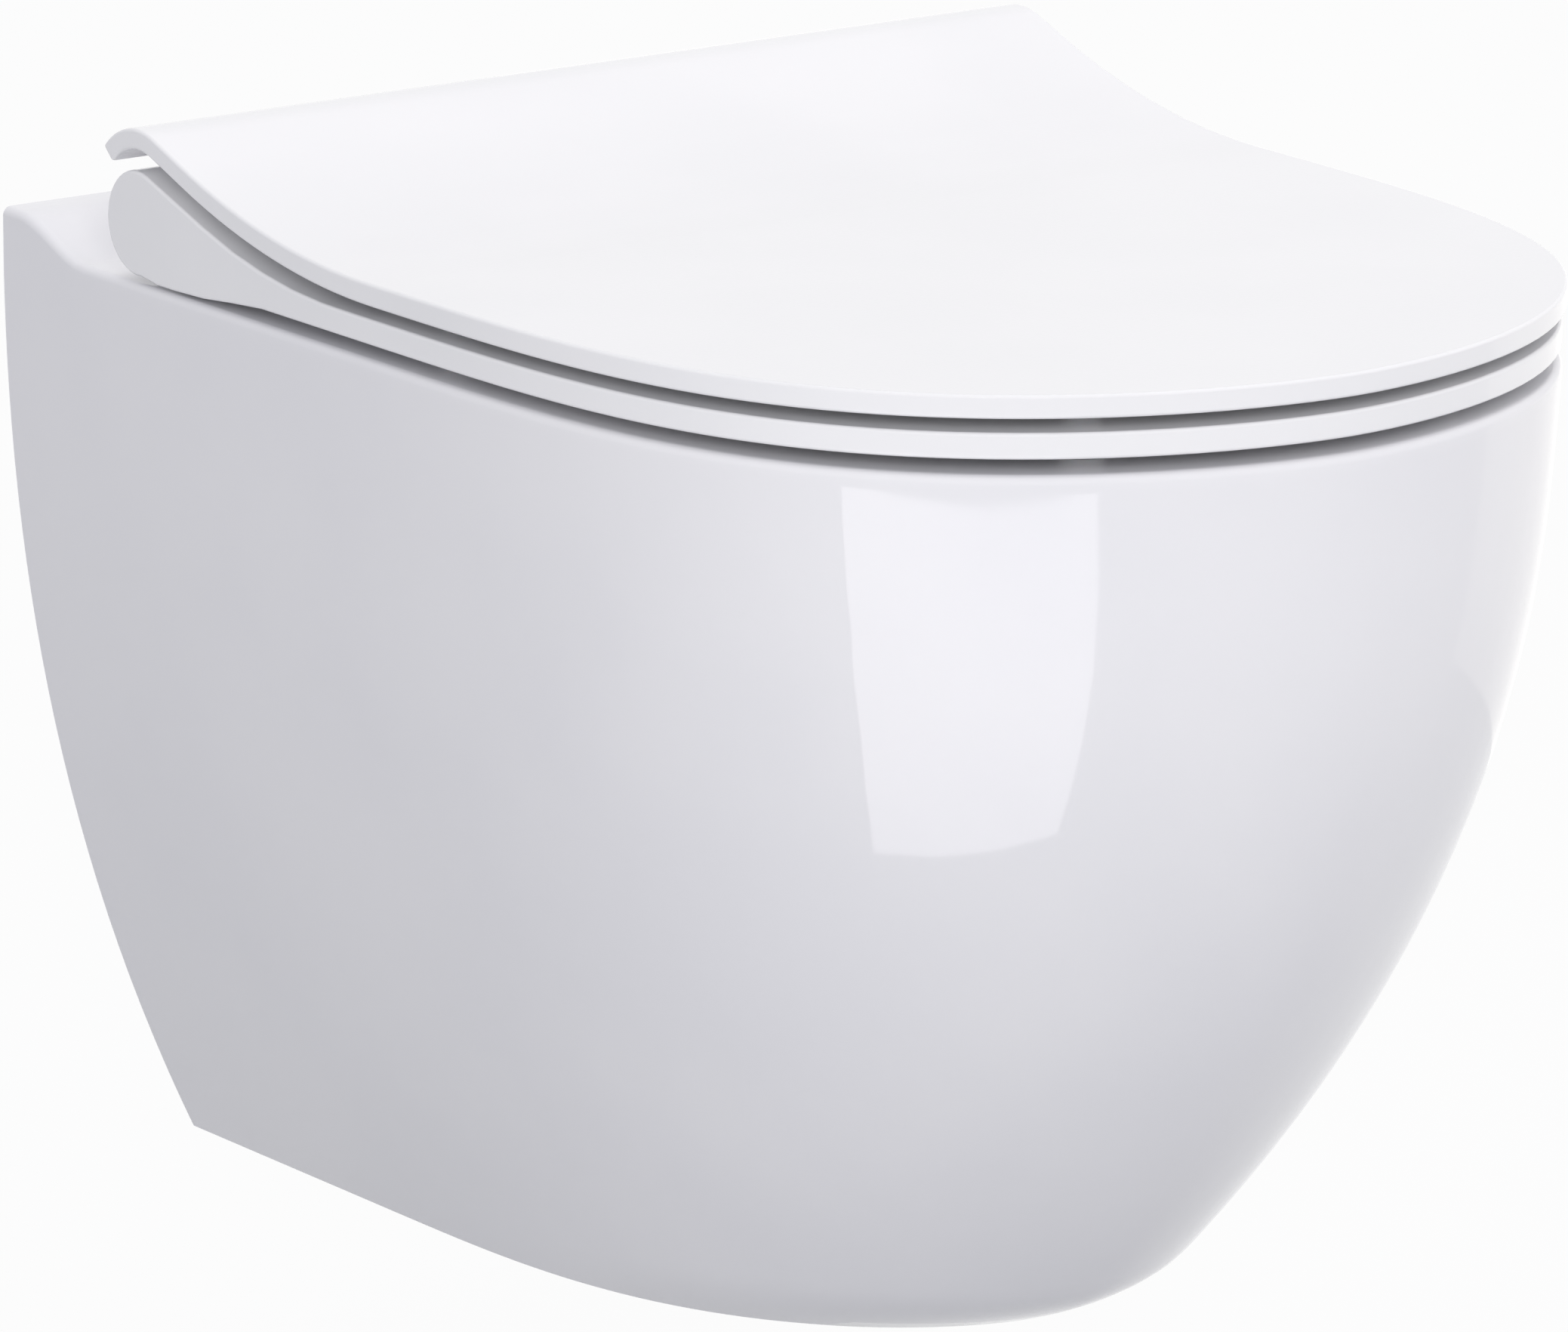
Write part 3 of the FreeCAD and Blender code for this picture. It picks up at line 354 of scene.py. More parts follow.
# %% Material builder
def make_material(name, light, dark, rough, scale, depth, grain=None, marks=None, **plain):
    """A finish that varies slowly between two colours and between two roughness values.

    The scale is that of the slow pattern. The depth, in metres, is that of the relief: a grain or
    turned marks, each with its own scale, or else the slow pattern itself.
    """
    material = bpy.data.materials.new(name)
    material.use_nodes = True
    tree = material.node_tree
    shader = find_node(tree, "BSDF_PRINCIPLED")
    for label, value in plain.items():
        shader.inputs[label.replace("_", " ")].default_value = value
    limits = {"Smoothest": rough[0], "Roughest": rough[1]}
    colours = {"Light": (*light, 1.0), "Dark": (*dark, 1.0)}
    uneven = add_node(
        tree, "ShaderNodeGroup", {"Scale": scale, **colours, **limits}, node_tree=UNEVENNESS
    )
    roughness, height = uneven.outputs["Roughness"], uneven.outputs["Cloud"]
    if marks:
        turned = add_node(
            tree, "ShaderNodeGroup", {"Spacing": marks, **limits}, node_tree=TURNING
        )
        roughness, height = turned.outputs["Roughness"], turned.outputs["Height"]
    elif grain:
        grained = add_node(tree, "ShaderNodeGroup", {"Scale": grain}, node_tree=GRAIN)
        height = grained.outputs["Height"]
    relief = add_node(tree, "ShaderNodeBump", {"Strength": 1.0, "Distance": depth})
    link = tree.links.new
    link(uneven.outputs["Colour"], shader.inputs["Base Color"])
    link(roughness, shader.inputs["Roughness"])
    link(height, relief.inputs["Height"])
    link(relief.outputs["Normal"], shader.inputs["Normal"])
    return material


# %% The finishes
GLAZE = make_material(
    "white glaze", (0.84, 0.838, 0.86), (0.81, 0.81, 0.838), (0.035, 0.07),
    scale=9.0, depth=0.0006, IOR=1.52, Specular_IOR_Level=0.5,
)
SEAT_RESIN = make_material(
    "white seat resin", (0.86, 0.86, 0.875), (0.84, 0.842, 0.858), (0.10, 0.16),
    scale=12.0, depth=0.000015, grain=900.0, Coat_Weight=0.25, Coat_Roughness=0.06, IOR=1.5,
)
SATIN_WHITE = make_material(
    "satin white plastic", (0.82, 0.82, 0.83), (0.78, 0.78, 0.79), (0.32, 0.42),
    scale=30.0, depth=0.00004, grain=1500.0,
)
SATIN_GREY = make_material(
    "satin grey plastic", (0.10, 0.105, 0.11), (0.08, 0.085, 0.09), (0.38, 0.5),
    scale=40.0, depth=0.00005, grain=1500.0,
)
CHROME = make_material(
    "chrome plate", (0.80, 0.81, 0.83), (0.74, 0.755, 0.78), (0.04, 0.09),
    scale=60.0, depth=0.00004, Metallic=1.0,
)
STAINLESS = make_material(
    "turned stainless steel", (0.60, 0.60, 0.62), (0.52, 0.525, 0.54), (0.18, 0.34),
    scale=80.0, depth=0.00002, marks=3000.0, Metallic=1.0,
)
ZINC = make_material(
    "bright zinc plate", (0.58, 0.60, 0.63), (0.46, 0.48, 0.50), (0.25, 0.45),
    scale=120.0, depth=0.00004, grain=1800.0, Metallic=1.0,
)
SEAL_RUBBER = make_material(
    "black seal rubber", (0.022, 0.022, 0.024), (0.035, 0.035, 0.036), (0.6, 0.8),
    scale=60.0, depth=0.00006, grain=2500.0,
)
PAD_RUBBER = make_material(
    "clear white pad rubber", (0.70, 0.70, 0.71), (0.64, 0.64, 0.655), (0.42, 0.55),
    scale=80.0, depth=0.00003, grain=2200.0, Subsurface_Weight=0.2, Subsurface_Scale=0.002,
)
print(len(bpy.data.materials), "materials")

# %% Put the finishes on the CAD pieces that stay
FINISH = {
    "glazed_ceramic": GLAZE, "seat_plastic": SEAT_RESIN, "white_plastic": SATIN_WHITE,
    "grey_plastic": SATIN_GREY, "chrome": CHROME, "stainless_steel": STAINLESS, "zinc": ZINC,
    "seal_rubber": SEAL_RUBBER, "pad_rubber": PAD_RUBBER,
}
nodes = frame["nodes"]
for part in frame["record"]["subparts"]:
    node = nodes[part["node"]]
    node.data.materials.clear()
    node.data.materials.append(FINISH[part["material_slot"]])

# %% [markdown]
# ## The outside of the pan
# A wall hung pan is slip cast: one hollow shell with a closed floor, open only towards the wall.
# Its side is drawn here as columns that run round the plan curve and levels that step down it. The
# width draws in slowly and the nose draws back faster, then turns under over the last 20 mm.

# %% The pan's side at any depth
SIDE_DRAW = 74.8                    # how far in each side lies at the foot
CUBIC_SHARE = 0.2                   # the side is mostly a parabola, with a little of a cubic
SHOULDER_DRAW = 83.0                # how much nearer the wall the shoulder lies at the foot
NOSE_START = 40.0                   # depth at which the nose starts to draw back
NOSE_DRAW = 144.0                   # how far back it then lies at the foot
NOSE_POWER = 2.05                   # above 1, it draws back faster and faster
TUCK_HEIGHT = 20.0                  # height of the turn under, at the foot
TUCK_DRAW = 17.0                    # how much further back the nose lies there
FULLNESS_LOSS, BLUNTNESS_LOSS = 0.6, 0.13       # the plan curve is rounder at the foot


def pan_size(depth):
    """What nose() needs, from half width to bluntness, at a depth below the rim."""
    t = depth / HEIGHT
    half_width = HALF_WIDTH - SIDE_DRAW * t * t * (1 - CUBIC_SHARE + CUBIC_SHARE * t)
    drawn_back = max(0.0, depth - NOSE_START) / (HEIGHT - NOSE_START)
    tucked_under = max(0.0, depth - (HEIGHT - TUCK_HEIGHT)) / TUCK_HEIGHT
    reach = REACH - NOSE_DRAW * drawn_back ** NOSE_POWER - TUCK_DRAW * tucked_under ** 2
    shoulder = SHOULDER - SHOULDER_DRAW * t
    return half_width, shoulder, reach, FULLNESS - FULLNESS_LOSS * t, BLUNTNESS - BLUNTNESS_LOSS * t


print("half width at the foot", round(pan_size(HEIGHT)[0], 1), "mm")

# %% The upstand's height
LEDGE_HEIGHT = 11.5
LEDGE_FOOT = -50.0                  # the upstand starts to rise here
LEDGE_TOP = -9.0                    # and is at its height from here to the wall


def ledge_rise(y):
    """Height of the upstand along the wall, above the deck: one smooth step."""
    t = min(1.0, max(0.0, (y - LEDGE_FOOT) / (LEDGE_TOP - LEDGE_FOOT)))
    return LEDGE_HEIGHT * t * t * (3 - 2 * t)


# %% One level of the side
NEAR_WALL = [0.0, -4.5, -9.0, -13.0, -17.0, -21.5, -26.0, -30.5, -35.0, -39.5, -44.5]
STRAIGHT_STEPS = 9                  # columns from the upstand to the shoulder


def pan_row(depth):
    """Points of one level, from the wall on the right, round the front, to the wall on the left."""
    half_width, shoulder, reach, fullness, bluntness = pan_size(depth)
    z = RIM - depth
    right = [(half_width, y, z) for y in NEAR_WALL]
    for i in range(STRAIGHT_STEPS + 1):
        y = LEDGE_FOOT + i / STRAIGHT_STEPS * (-shoulder - LEDGE_FOOT)
        right.append((half_width, y, z))
    for angle in NOSE_STEPS:
        x, y = nose(angle, half_width, shoulder, reach, fullness, bluntness)
        right.append((x, y, z))
    left = [(-x, y, z) for x, y, z in reversed(right)]
    return right + [(0.0, -reach, z)] + left


print(len(pan_row(0.0)), "columns round the side")

# %% Side, level by level
LEVELS = [6, 12, 20, 30, *range(42, 300, 12), 305, 309, 313, 317, 321, 325, 329]     # depths
pan = bmesh.new()
side_row = start_row(pan, [(x, y, z + ledge_rise(y)) for x, y, z in pan_row(0.0)])
for depth in LEVELS:
    side_row = extrude_row(pan, side_row, pan_row(float(depth)))
along_wall = pan.edges.new((side_row[-1], side_row[0]))
foot = bmesh.ops.contextual_create(pan, geom=row_edges(pan, side_row) + [along_wall])
print("side", len(pan.verts), "vertices; floor faces", len(foot["faces"]))

# %% [markdown]
# ## Deck, upstand and bowl
# The flat deck runs from the rim's outline in to the mouth of the bowl. Its first row is the
# outline with a straight line across the foot of the upstand, and each next row lies part of the
# way to an oval. The oval then goes on down as the wall of the bowl, out under the rim, over the
# shelf that carries the flush water and down the funnel. The upstand is the line across its foot,
# carried back to the wall.

# %% Deck
MOUTH_CENTRE = -320.0               # Y of the middle of the bowl's oval mouth
MOUTH_LENGTH, MOUTH_WIDTH = 150.0, 144.0        # half sizes of the mouth, along Y and X
DECK_SHARES = (0.12, 0.3, 0.5, 0.7, 0.86, 1.0)  # of the way from the outline to the mouth
FOOT_LINE_STEPS = 26
foot_line = []
for i in range(FOOT_LINE_STEPS + 1):
    foot_line.append((-HALF_WIDTH + 2 * HALF_WIDTH * i / FOOT_LINE_STEPS, LEDGE_FOOT, RIM))
deck_loop = pan_row(0.0)[len(NEAR_WALL):-len(NEAR_WALL)] + foot_line[1:-1]
mouth = [oval_point(point, MOUTH_CENTRE, MOUTH_LENGTH, MOUTH_WIDTH) for point in deck_loop]
row = start_row(pan, deck_loop, closed=True)
for share in DECK_SHARES:
    between = [(*part_way(start, end, share), RIM) for start, end in zip(deck_loop, mouth)]
    row = extrude_row(pan, row, between, closed=True)
print("deck", len(deck_loop), "points in each row")

# %% Upstand along the wall
back_row = start_row(pan, foot_line)
for y in reversed(NEAR_WALL):
    back_row = extrude_row(pan, back_row, [(x, y, RIM + ledge_rise(y)) for x, _, _ in foot_line])


# %% Bowl wall and shelf
SHELF = 47.7                        # height of the shelf under the rim
UNDERCUT = 5.0                      # how far the wall lies back behind the mouth, at the shelf
SHELF_LENGTH, SHELF_WIDTH = 145.0, 139.0        # half sizes of the shelf's inner edge
WALL_STEPS = 4


def bowl_oval(half_length, half_width, centre, z):
    """The mouth's oval at another size, place and height."""
    points = []
    for x, y in mouth:
        along = centre + (y - MOUTH_CENTRE) / MOUTH_LENGTH * half_length
        points.append((x / MOUTH_WIDTH * half_width, along, z))
    return points


for i in range(1, WALL_STEPS + 1):
    share = i / WALL_STEPS
    back = UNDERCUT * share
    z = RIM + (SHELF - RIM) * share
    wall = bowl_oval(MOUTH_LENGTH + back, MOUTH_WIDTH + back, MOUTH_CENTRE, z)
    row = extrude_row(pan, row, wall, closed=True)
shelf_edge = bowl_oval(SHELF_LENGTH, SHELF_WIDTH, MOUTH_CENTRE, SHELF)
row = extrude_row(pan, row, shelf_edge, closed=True)

# %% Funnel
SEAM = -150.0                       # below this height the CAD bowl and trap take over
FUNNEL_LEVELS = [42, 34, 24, 12, 0, -14, -30, -48, -68, -90, -112, -132, SEAM]      # heights
FUNNEL_TOP = SHELF + 1              # the funnel's curve starts just above the shelf
FUNNEL_DEPTH = 264.0                # down to the foot of the whole funnel, in the sump
FUNNEL_LENGTH_DRAW, FUNNEL_WIDTH_DRAW = 103.0, 100.0        # how far in it lies at its foot
FUNNEL_SHIFT = 80.0                 # how much nearer the wall its middle lies there
FUNNEL_POWER = 1.35                 # above 1, it draws in faster and faster
for z in FUNNEL_LEVELS:
    share = (FUNNEL_TOP - z) / FUNNEL_DEPTH
    ease = share ** FUNNEL_POWER
    half_length = SHELF_LENGTH - FUNNEL_LENGTH_DRAW * ease
    half_width = SHELF_WIDTH - FUNNEL_WIDTH_DRAW * ease
    level = bowl_oval(half_length, half_width, MOUTH_CENTRE + FUNNEL_SHIFT * share, z)
    row = extrude_row(pan, row, level, closed=True)
print("with deck and bowl", len(pan.verts), "vertices")

# %% [markdown]
# ## Rounding the glaze
# Glaze can't hold a sharp edge: it pulls back from one in the kiln, so every edge of the casting is
# rounded before it is glazed. The rows are joined first, then the edges that still meet at an angle
# are found by where they lie, and each kind gets its own radius.

# %% Join the rows and round the edges
merge(pan, within=0.01)
face_outwards(pan, up_here=(0, -70, RIM))


def in_mouth(point, margin):
    """True for a point inside the oval that lies a margin outside the mouth."""
    x = point.x / (MOUTH_WIDTH + margin)
    y = (point.y - MOUTH_CENTRE) / (MOUTH_LENGTH + margin)
    return x * x + y * y < 1


SLACK = 1.0                         # millimetres up or down that still count as one height
ROUNDINGS = {                       # radius, segments, and where the middle of the edge lies
    "mouth": (5.0, 4, lambda at: at.z > RIM - SLACK and in_mouth(at, margin=2)),
    "shelf": (3.0, 4, lambda at: abs(at.z - SHELF) < SLACK),
    "deck and upstand": (3.0, 4, lambda at: at.z > RIM - SLACK and not in_mouth(at, margin=8)),
    "foot": (4.0, 5, lambda at: at.z < BASE + SLACK),
}
for label, (radius, segments, lies_here) in ROUNDINGS.items():
    found = [e for e in sharp_edges(pan) if lies_here((e.verts[0].co + e.verts[1].co) / 2)]
    round_edges(pan, found, radius, segments)
    print(label, len(found), "edges rounded to", radius, "mm")
print("rounded", len(pan.verts), "vertices;", len(sharp_edges(pan, 40)), "edges still sharp")

# %% [markdown]
# ## The back of the casting
# From behind, the hollow shell shows its wall, the two lugs for the studs, the flush horn, the trap
# and the spigot. The CAD solids already have those shapes, so copies of them are merged into one
# mesh, and the faces that lie on the glazed skin above are taken away, or the two would fight for
# the same place.

# %% Merge the CAD castings
CASTING = sorted(name for name in nodes if name.startswith("pan_"))
bmesh.ops.scale(pan, vec=(MM, MM, MM), verts=pan.verts[:])
skin_tree = BVHTree.FromBMesh(pan)
casting = bmesh.new()
for name in CASTING:
    casting.from_mesh(nodes[name].data)
merge(casting, within=1e-6)
everything = casting.verts[:] + casting.edges[:] + casting.faces[:]
seam = (0, 0, SEAM * MM)
bmesh.ops.bisect_plane(casting, geom=everything, dist=1e-7, plane_co=seam, plane_no=(0, 0, 1))
print("casting", len(casting.faces), "faces, cut at the seam")

# %% Find the faces on the skin
ON_WALL = 2e-5                      # metres from the wall plane that still count as on it
SKIN_REACH = 0.0028                 # metres from the skin that still count as on it


def on_skin(face):
    """True for a face whose corners and middle lie on the glazed skin, the wall plane left out."""
    corners = [vertex.co for vertex in face.verts]
    if all(abs(corner.y) < ON_WALL for corner in corners):
        return False
    points = corners + [sum(corners, Vector()) / len(corners)]
    return all(skin_tree.find_nearest(point, SKIN_REACH)[0] is not None for point in points)


doubled = [face for face in casting.faces if on_skin(face)]
print("faces on the skin", len(doubled), "of", len(casting.faces))

# %% Join the skin to the casting at the seam, and take the doubled faces away
SEAM_REACH = 0.003                  # metres that a corner of the skin may move to meet the casting


def at_seam(vertex, within):
    """True for a vertex at the height of the seam, within a distance in metres."""
    return abs(vertex.co.z - SEAM * MM) < within


casting_tree = BVHTree.FromBMesh(casting)
for vertex in pan.verts:
    if vertex.is_boundary and at_seam(vertex, within=1e-5):
        near = casting_tree.find_nearest(vertex.co, SEAM_REACH)[0]
        if near is not None:
            vertex.co = (near.x, near.y, vertex.co.z)
bmesh.ops.delete(casting, geom=doubled, context="FACES")

# %% Draw the ends of the hidden joints back under the glaze
JOINT_REACH = 0.0018                # metres from the skin within which a corner is drawn back
JOINT_DEPTH = 0.001                 # metres under the skin that it is drawn back to
drawn_back = 0
for vertex in casting.verts:
    if abs(vertex.co.y) < ON_WALL or at_seam(vertex, within=1e-4):
        continue
    near, normal, _, _ = skin_tree.find_nearest(vertex.co, JOINT_REACH)
    if near is not None:
        vertex.co = near - normal * JOINT_DEPTH
        drawn_back += 1
print("corners drawn back", drawn_back)

# %% The two pieces of the pan
glazed_skin = finish_piece(
    pan, "glazed_skin", "pan", CASTING, GLAZE, scale=1, sharp=40
)
flat_faces = glazed_skin.modifiers.new("even normals", "WEIGHTED_NORMAL")
flat_faces.keep_sharp = True
casting_back = finish_piece(
    casting, "casting_back", "pan", CASTING, GLAZE, scale=1, sharp=14
)

# %% [markdown]
# ## Round pipes
# The spigot and the flush socket come from the CAD model as long flat strips, and gloss shows each
# one as a streak. More strips would only make finer streaks. The shape is near enough, so the faces
# stay and only their normals are set: each corner gets the normal of the true cylinder.

# %% Shade the two pipes at the back as true cylinders
PIPES = {"waste spigot": (-100.0, 51.0), "flush socket": (35.0, 36.5)}      # height, outer radius
ON_PIPE = 3e-5                      # metres from the cylinder that still count as on it
casting_mesh = casting_back.data
shading = [Vector((0, 0, 0))] * len(casting_mesh.loops)     # zero leaves a normal as it is
for label, (height, radius) in PIPES.items():
    centre = Vector((0, 0, height * MM))
    count = 0
    for face in casting_mesh.polygons:
        arms = [casting_mesh.vertices[i].co - centre for i in face.vertices]
        if all(abs(math.hypot(arm.x, arm.z) - radius * MM) < ON_PIPE for arm in arms):
            for loop, arm in zip(face.loop_indices, arms):
                shading[loop] = Vector((arm.x, 0, arm.z)).normalized()
            count += 1
    print(label, "faces shaded round", count)
casting_mesh.normals_split_custom_set(shading)

# %% [markdown]
# ## Upper lines of the seat
# Ring and lid share one kind of side profile: flat over the bowl, then a long hollow sweep up to a
# straight slope, and a roll about the hinge at the rear. The lid's roll hooks over the ring's, so
# that the hinge is hidden. One class gives the height of such a line at any distance from the wall.

# %% Height of a seat line
class SeatLine:
    """A side profile: level, hollow sweep, straight slope and rear roll."""

    def __init__(self, centre_y, centre_z, radius, slope_deg, sweep, level):
        slope = math.radians(slope_deg)
        self.centre_y, self.centre_z, self.radius = centre_y, centre_z, radius
        self.slope, self.sweep, self.level = slope, sweep, level
        self.leave_y = centre_y - radius * math.sin(slope)
        self.leave_z = centre_z + radius * math.cos(slope)
        drop = self.leave_z - level - sweep * (1 - math.cos(slope))
        self.join_y = self.leave_y - drop / math.tan(slope)
        self.flat_y = self.join_y - sweep * math.sin(slope)

    def height(self, y):
        """Height of the line at a distance from the wall, from the flat to the roll."""
        if y <= self.flat_y:
            return self.level
        if y <= self.join_y:
            return self.level + self.sweep - math.sqrt(self.sweep ** 2 - (y - self.flat_y) ** 2)
        if y <= self.leave_y:
            return self.leave_z - (self.leave_y - y) * math.tan(self.slope)
        return self.centre_z + math.sqrt(max(0.0, self.radius ** 2 - (y - self.centre_y) ** 2))

    def roll(self, degrees):
        """A point of the rear roll; angles are from the wall's side upwards."""
        turn = math.radians(degrees)
        y = self.centre_y + self.radius * math.cos(turn)
        return y, self.centre_z + self.radius * math.sin(turn)

    def on_slope(self, share):
        """A point of the slope, a share of the way down from the roll."""
        y = self.leave_y + (self.join_y - self.leave_y) * share
        return y, self.height(y)

    def on_sweep(self, share):
        """A point of the sweep, a share of the way from the slope to the flat."""
        y = self.join_y + (self.flat_y - self.join_y) * share
        return y, self.height(y)


# %% [markdown]
# ## The lid
# The lid is one sheet, about 8 mm thick, cut to the plan curve. Its rear half is a grid of rows
# that follow the side profile. The flat front half is a single face, because a flat face needs no
# more. The sheet is then extruded to its underside, whose own profile is a little tighter at the
# hook. The small radius that a mould leaves on each edge is a Bevel modifier.

# %% Lid stations along the profile
LID_HALF = 186.0
LID_REACH = 510.6
LID_SLOPE = 19.8                    # degrees
ROLL_Y, ROLL_Z = HINGE_Y - 3.0, HINGE_Z + 4.6       # the middle of the lid's roll
lid_top = SeatLine(ROLL_Y, ROLL_Z, radius=28.4, slope_deg=LID_SLOPE, sweep=326.0, level=120.2)
lid_under = SeatLine(ROLL_Y, ROLL_Z, radius=21.3, slope_deg=LID_SLOPE, sweep=333.9, level=112.3)
HOOK_TIP = 43.0                     # degrees above the level at which the hook ends
HOOK_STEPS, SLOPE_STEPS, SWEEP_STEPS = 18, 3, 16

stations = []                       # pairs of points, on top and underneath, from the hook's tip
for i in range(HOOK_STEPS + 1):
    turned = HOOK_TIP + (90 + LID_SLOPE - HOOK_TIP) * i / HOOK_STEPS
    stations.append((lid_top.roll(turned), lid_under.roll(turned)))
for i in range(1, SLOPE_STEPS + 1):
    share = i / SLOPE_STEPS
    stations.append((lid_top.on_slope(share), lid_under.on_slope(share)))
for i in range(1, SWEEP_STEPS + 1):
    share = i / SWEEP_STEPS
    stations.append((lid_top.on_sweep(share), lid_under.on_sweep(share)))
print(len(stations), "stations along the lid")

# %% Lid sheet
LID_COLUMNS = 16
LID_CLEAR = 3.0                     # the plan curve's points keep this far from the last station
lid = bmesh.new()
lid_x = [LID_HALF - 2 * LID_HALF * i / LID_COLUMNS for i in range(LID_COLUMNS + 1)]
row = start_row(lid, [(x, *stations[0][0]) for x in lid_x])
for (y, z), _ in stations[1:]:
    row = extrude_row(lid, row, [(x, y, z) for x in lid_x])
flat_y = stations[-1][0][0]
half_nose = [nose(angle, LID_HALF, SHOULDER, LID_REACH) for angle in NOSE_STEPS]
half_nose = [(x, y) for x, y in half_nose if y < flat_y - LID_CLEAR]
front_points = half_nose + [(0.0, -LID_REACH)] + [(-x, y) for x, y in reversed(half_nose)]
front_row = start_row(lid, [(x, y, lid_top.level) for x, y in front_points])
closing = [lid.edges.new((row[0], front_row[0])), lid.edges.new((front_row[-1], row[-1]))]
bmesh.ops.contextual_create(lid, geom=row_edges(lid, row) + row_edges(lid, front_row) + closing)
print("lid sheet", len(lid.verts), "vertices")

# %% Lid underside
below = {round(top_point[0], 2): under_point for top_point, under_point in stations}
made = bmesh.ops.extrude_face_region(lid, geom=lid.faces[:])
for part in made["geom"]:
    if isinstance(part, bmesh.types.BMVert):
        y, z = below.get(round(part.co.y, 2), (part.co.y, lid_under.level))
        part.co = (part.co.x, y, z)
merge(lid, within=0.001)
face_outwards(lid, up_here=(0, -300, lid_top.level))
print("lid closed:", all(edge.is_manifold for edge in lid.edges))


# %% The mould's radius
def soften_edges(piece, radius=1.2, segments=3, degrees=35):
    """A Bevel modifier for the small edge radius, in millimetres, of a moulding."""
    bevel = piece.modifiers.new("small edge radius", "BEVEL")
    bevel.width = radius * MM
    bevel.segments = segments
    bevel.limit_method = "ANGLE"
    bevel.angle_limit = math.radians(degrees)
    bevel.harden_normals = True


seat_lid = finish_piece(lid, "seat_lid_moulding", "lid", ["seat_lid"], SEAT_RESIN)
soften_edges(seat_lid)

# %% [markdown]
# ## The ring
# The ring is drawn as closed loops. They start at the outside on top, close in on the oval hole, go
# down its wall and come back out underneath. At the rear, the wall beside the two hinge windows is
# then taken away, and the top edge there is carried round the roll to meet the underside again.

# %% Ring outline
RING_HALF = 184.5
RING_REACH = 509.0
RING_REAR = -105.4                  # Y of the wall that closes the hinge windows
WINDOW_IN, WINDOW_OUT = 55.75, 101.75           # X of the two sides of a hinge window
SIDE_STEPS = 6
rear_y = [RING_REAR - (SHOULDER + RING_REAR) * i / SIDE_STEPS for i in range(SIDE_STEPS + 1)]
right = [(RING_HALF, y) for y in rear_y]
right += [nose(angle, RING_HALF, SHOULDER, RING_REACH) for angle in NOSE_STEPS]
left = [(-x, y) for x, y in reversed(right)]
rear_x = [-165.0, -144.0, -123.0, -WINDOW_OUT, -86.0, -71.0, -WINDOW_IN, -42.0, -28.0, -14.0, 0.0]
rear_x += [-x for x in reversed(rear_x[:-1])]
outer = right + [(0.0, -RING_REACH)] + left + [(x, RING_REAR) for x in rear_x]
print(len(outer), "points round the ring")

# %% Ring hole, top line and underside
HOLE_CENTRE = -309.0
HOLE_LENGTH, HOLE_WIDTH = 142.0, 113.0          # half sizes of the hole, along Y and X
inner = [oval_point(point, HOLE_CENTRE, HOLE_LENGTH, HOLE_WIDTH) for point in outer]
RING_SLOPE = 18.2                   # degrees
ring_line = SeatLine(
    HINGE_Y, HINGE_Z, radius=18.1, slope_deg=RING_SLOPE, sweep=255.0, level=107.6
)
UNDER_LEVEL = 98.8                  # height of the underside over the bowl
UNDER_DROP = 3.6                    # how much lower it lies at the hinge
DROP_START, DROP_END = -155.7, -117.7


def ring_under(y):
    """Height of the ring's underside: the ring is thicker at the rear, where the hinge is."""
    share = min(1.0, max(0.0, (y - DROP_START) / (DROP_END - DROP_START)))
    return UNDER_LEVEL - UNDER_DROP * share


def ring_loop(share, height):
    """A loop a share of the way from the outline to the hole, at the height that its Y gives."""
    flat = [part_way(start, end, share) for start, end in zip(outer, inner)]
    return [(x, y, height(y)) for x, y in flat]


# %% Ring, loop by loop
SHARES = [0.08, 0.2, 0.32, 0.44, 0.56, 0.68, 0.8, 0.92, 1.0]
ring = bmesh.new()
first = start_row(ring, ring_loop(0.0, ring_line.height), closed=True)
row = first
for share in SHARES:
    row = extrude_row(ring, row, ring_loop(share, ring_line.height), closed=True)
for share in SHARES[::-1] + [0.0]:
    row = extrude_row(ring, row, ring_loop(share, ring_under), closed=True)
row = extrude_row(ring, row, [vertex.co.copy() for vertex in first], closed=True)
merge(ring, within=0.005)
print("ring", len(ring.verts), "vertices")


# %% The roll on either side of the hinge windows
SLOPE_POINT = -97.4                 # Y of a point on the slope, between rear wall and roll
ROLL_END = -97.0                    # degrees: a little past straight down
ROLL_STEPS = 26
UNDER_ROLL = -95.7                  # Y at which the roll meets the underside
NEAR = 0.01                         # millimetres that still count as the same place


def roll_profile():
    """Points from the top of the slope round the roll and back to the underside."""
    points = [(SLOPE_POINT, ring_line.height(SLOPE_POINT)), (ring_line.leave_y, ring_line.leave_z)]
    start = 90 + RING_SLOPE
    for i in range(1, ROLL_STEPS + 1):
        points.append(ring_line.roll(start - (start - ROLL_END) * i / ROLL_STEPS))
    return points + [(y, UNDER_LEVEL - UNDER_DROP) for y in (UNDER_ROLL, RING_REAR)]


def on_rear_wall(vertex):
    """True for a vertex of the wall that closes the hinge windows."""
    return abs(vertex.co.y - RING_REAR) < NEAR


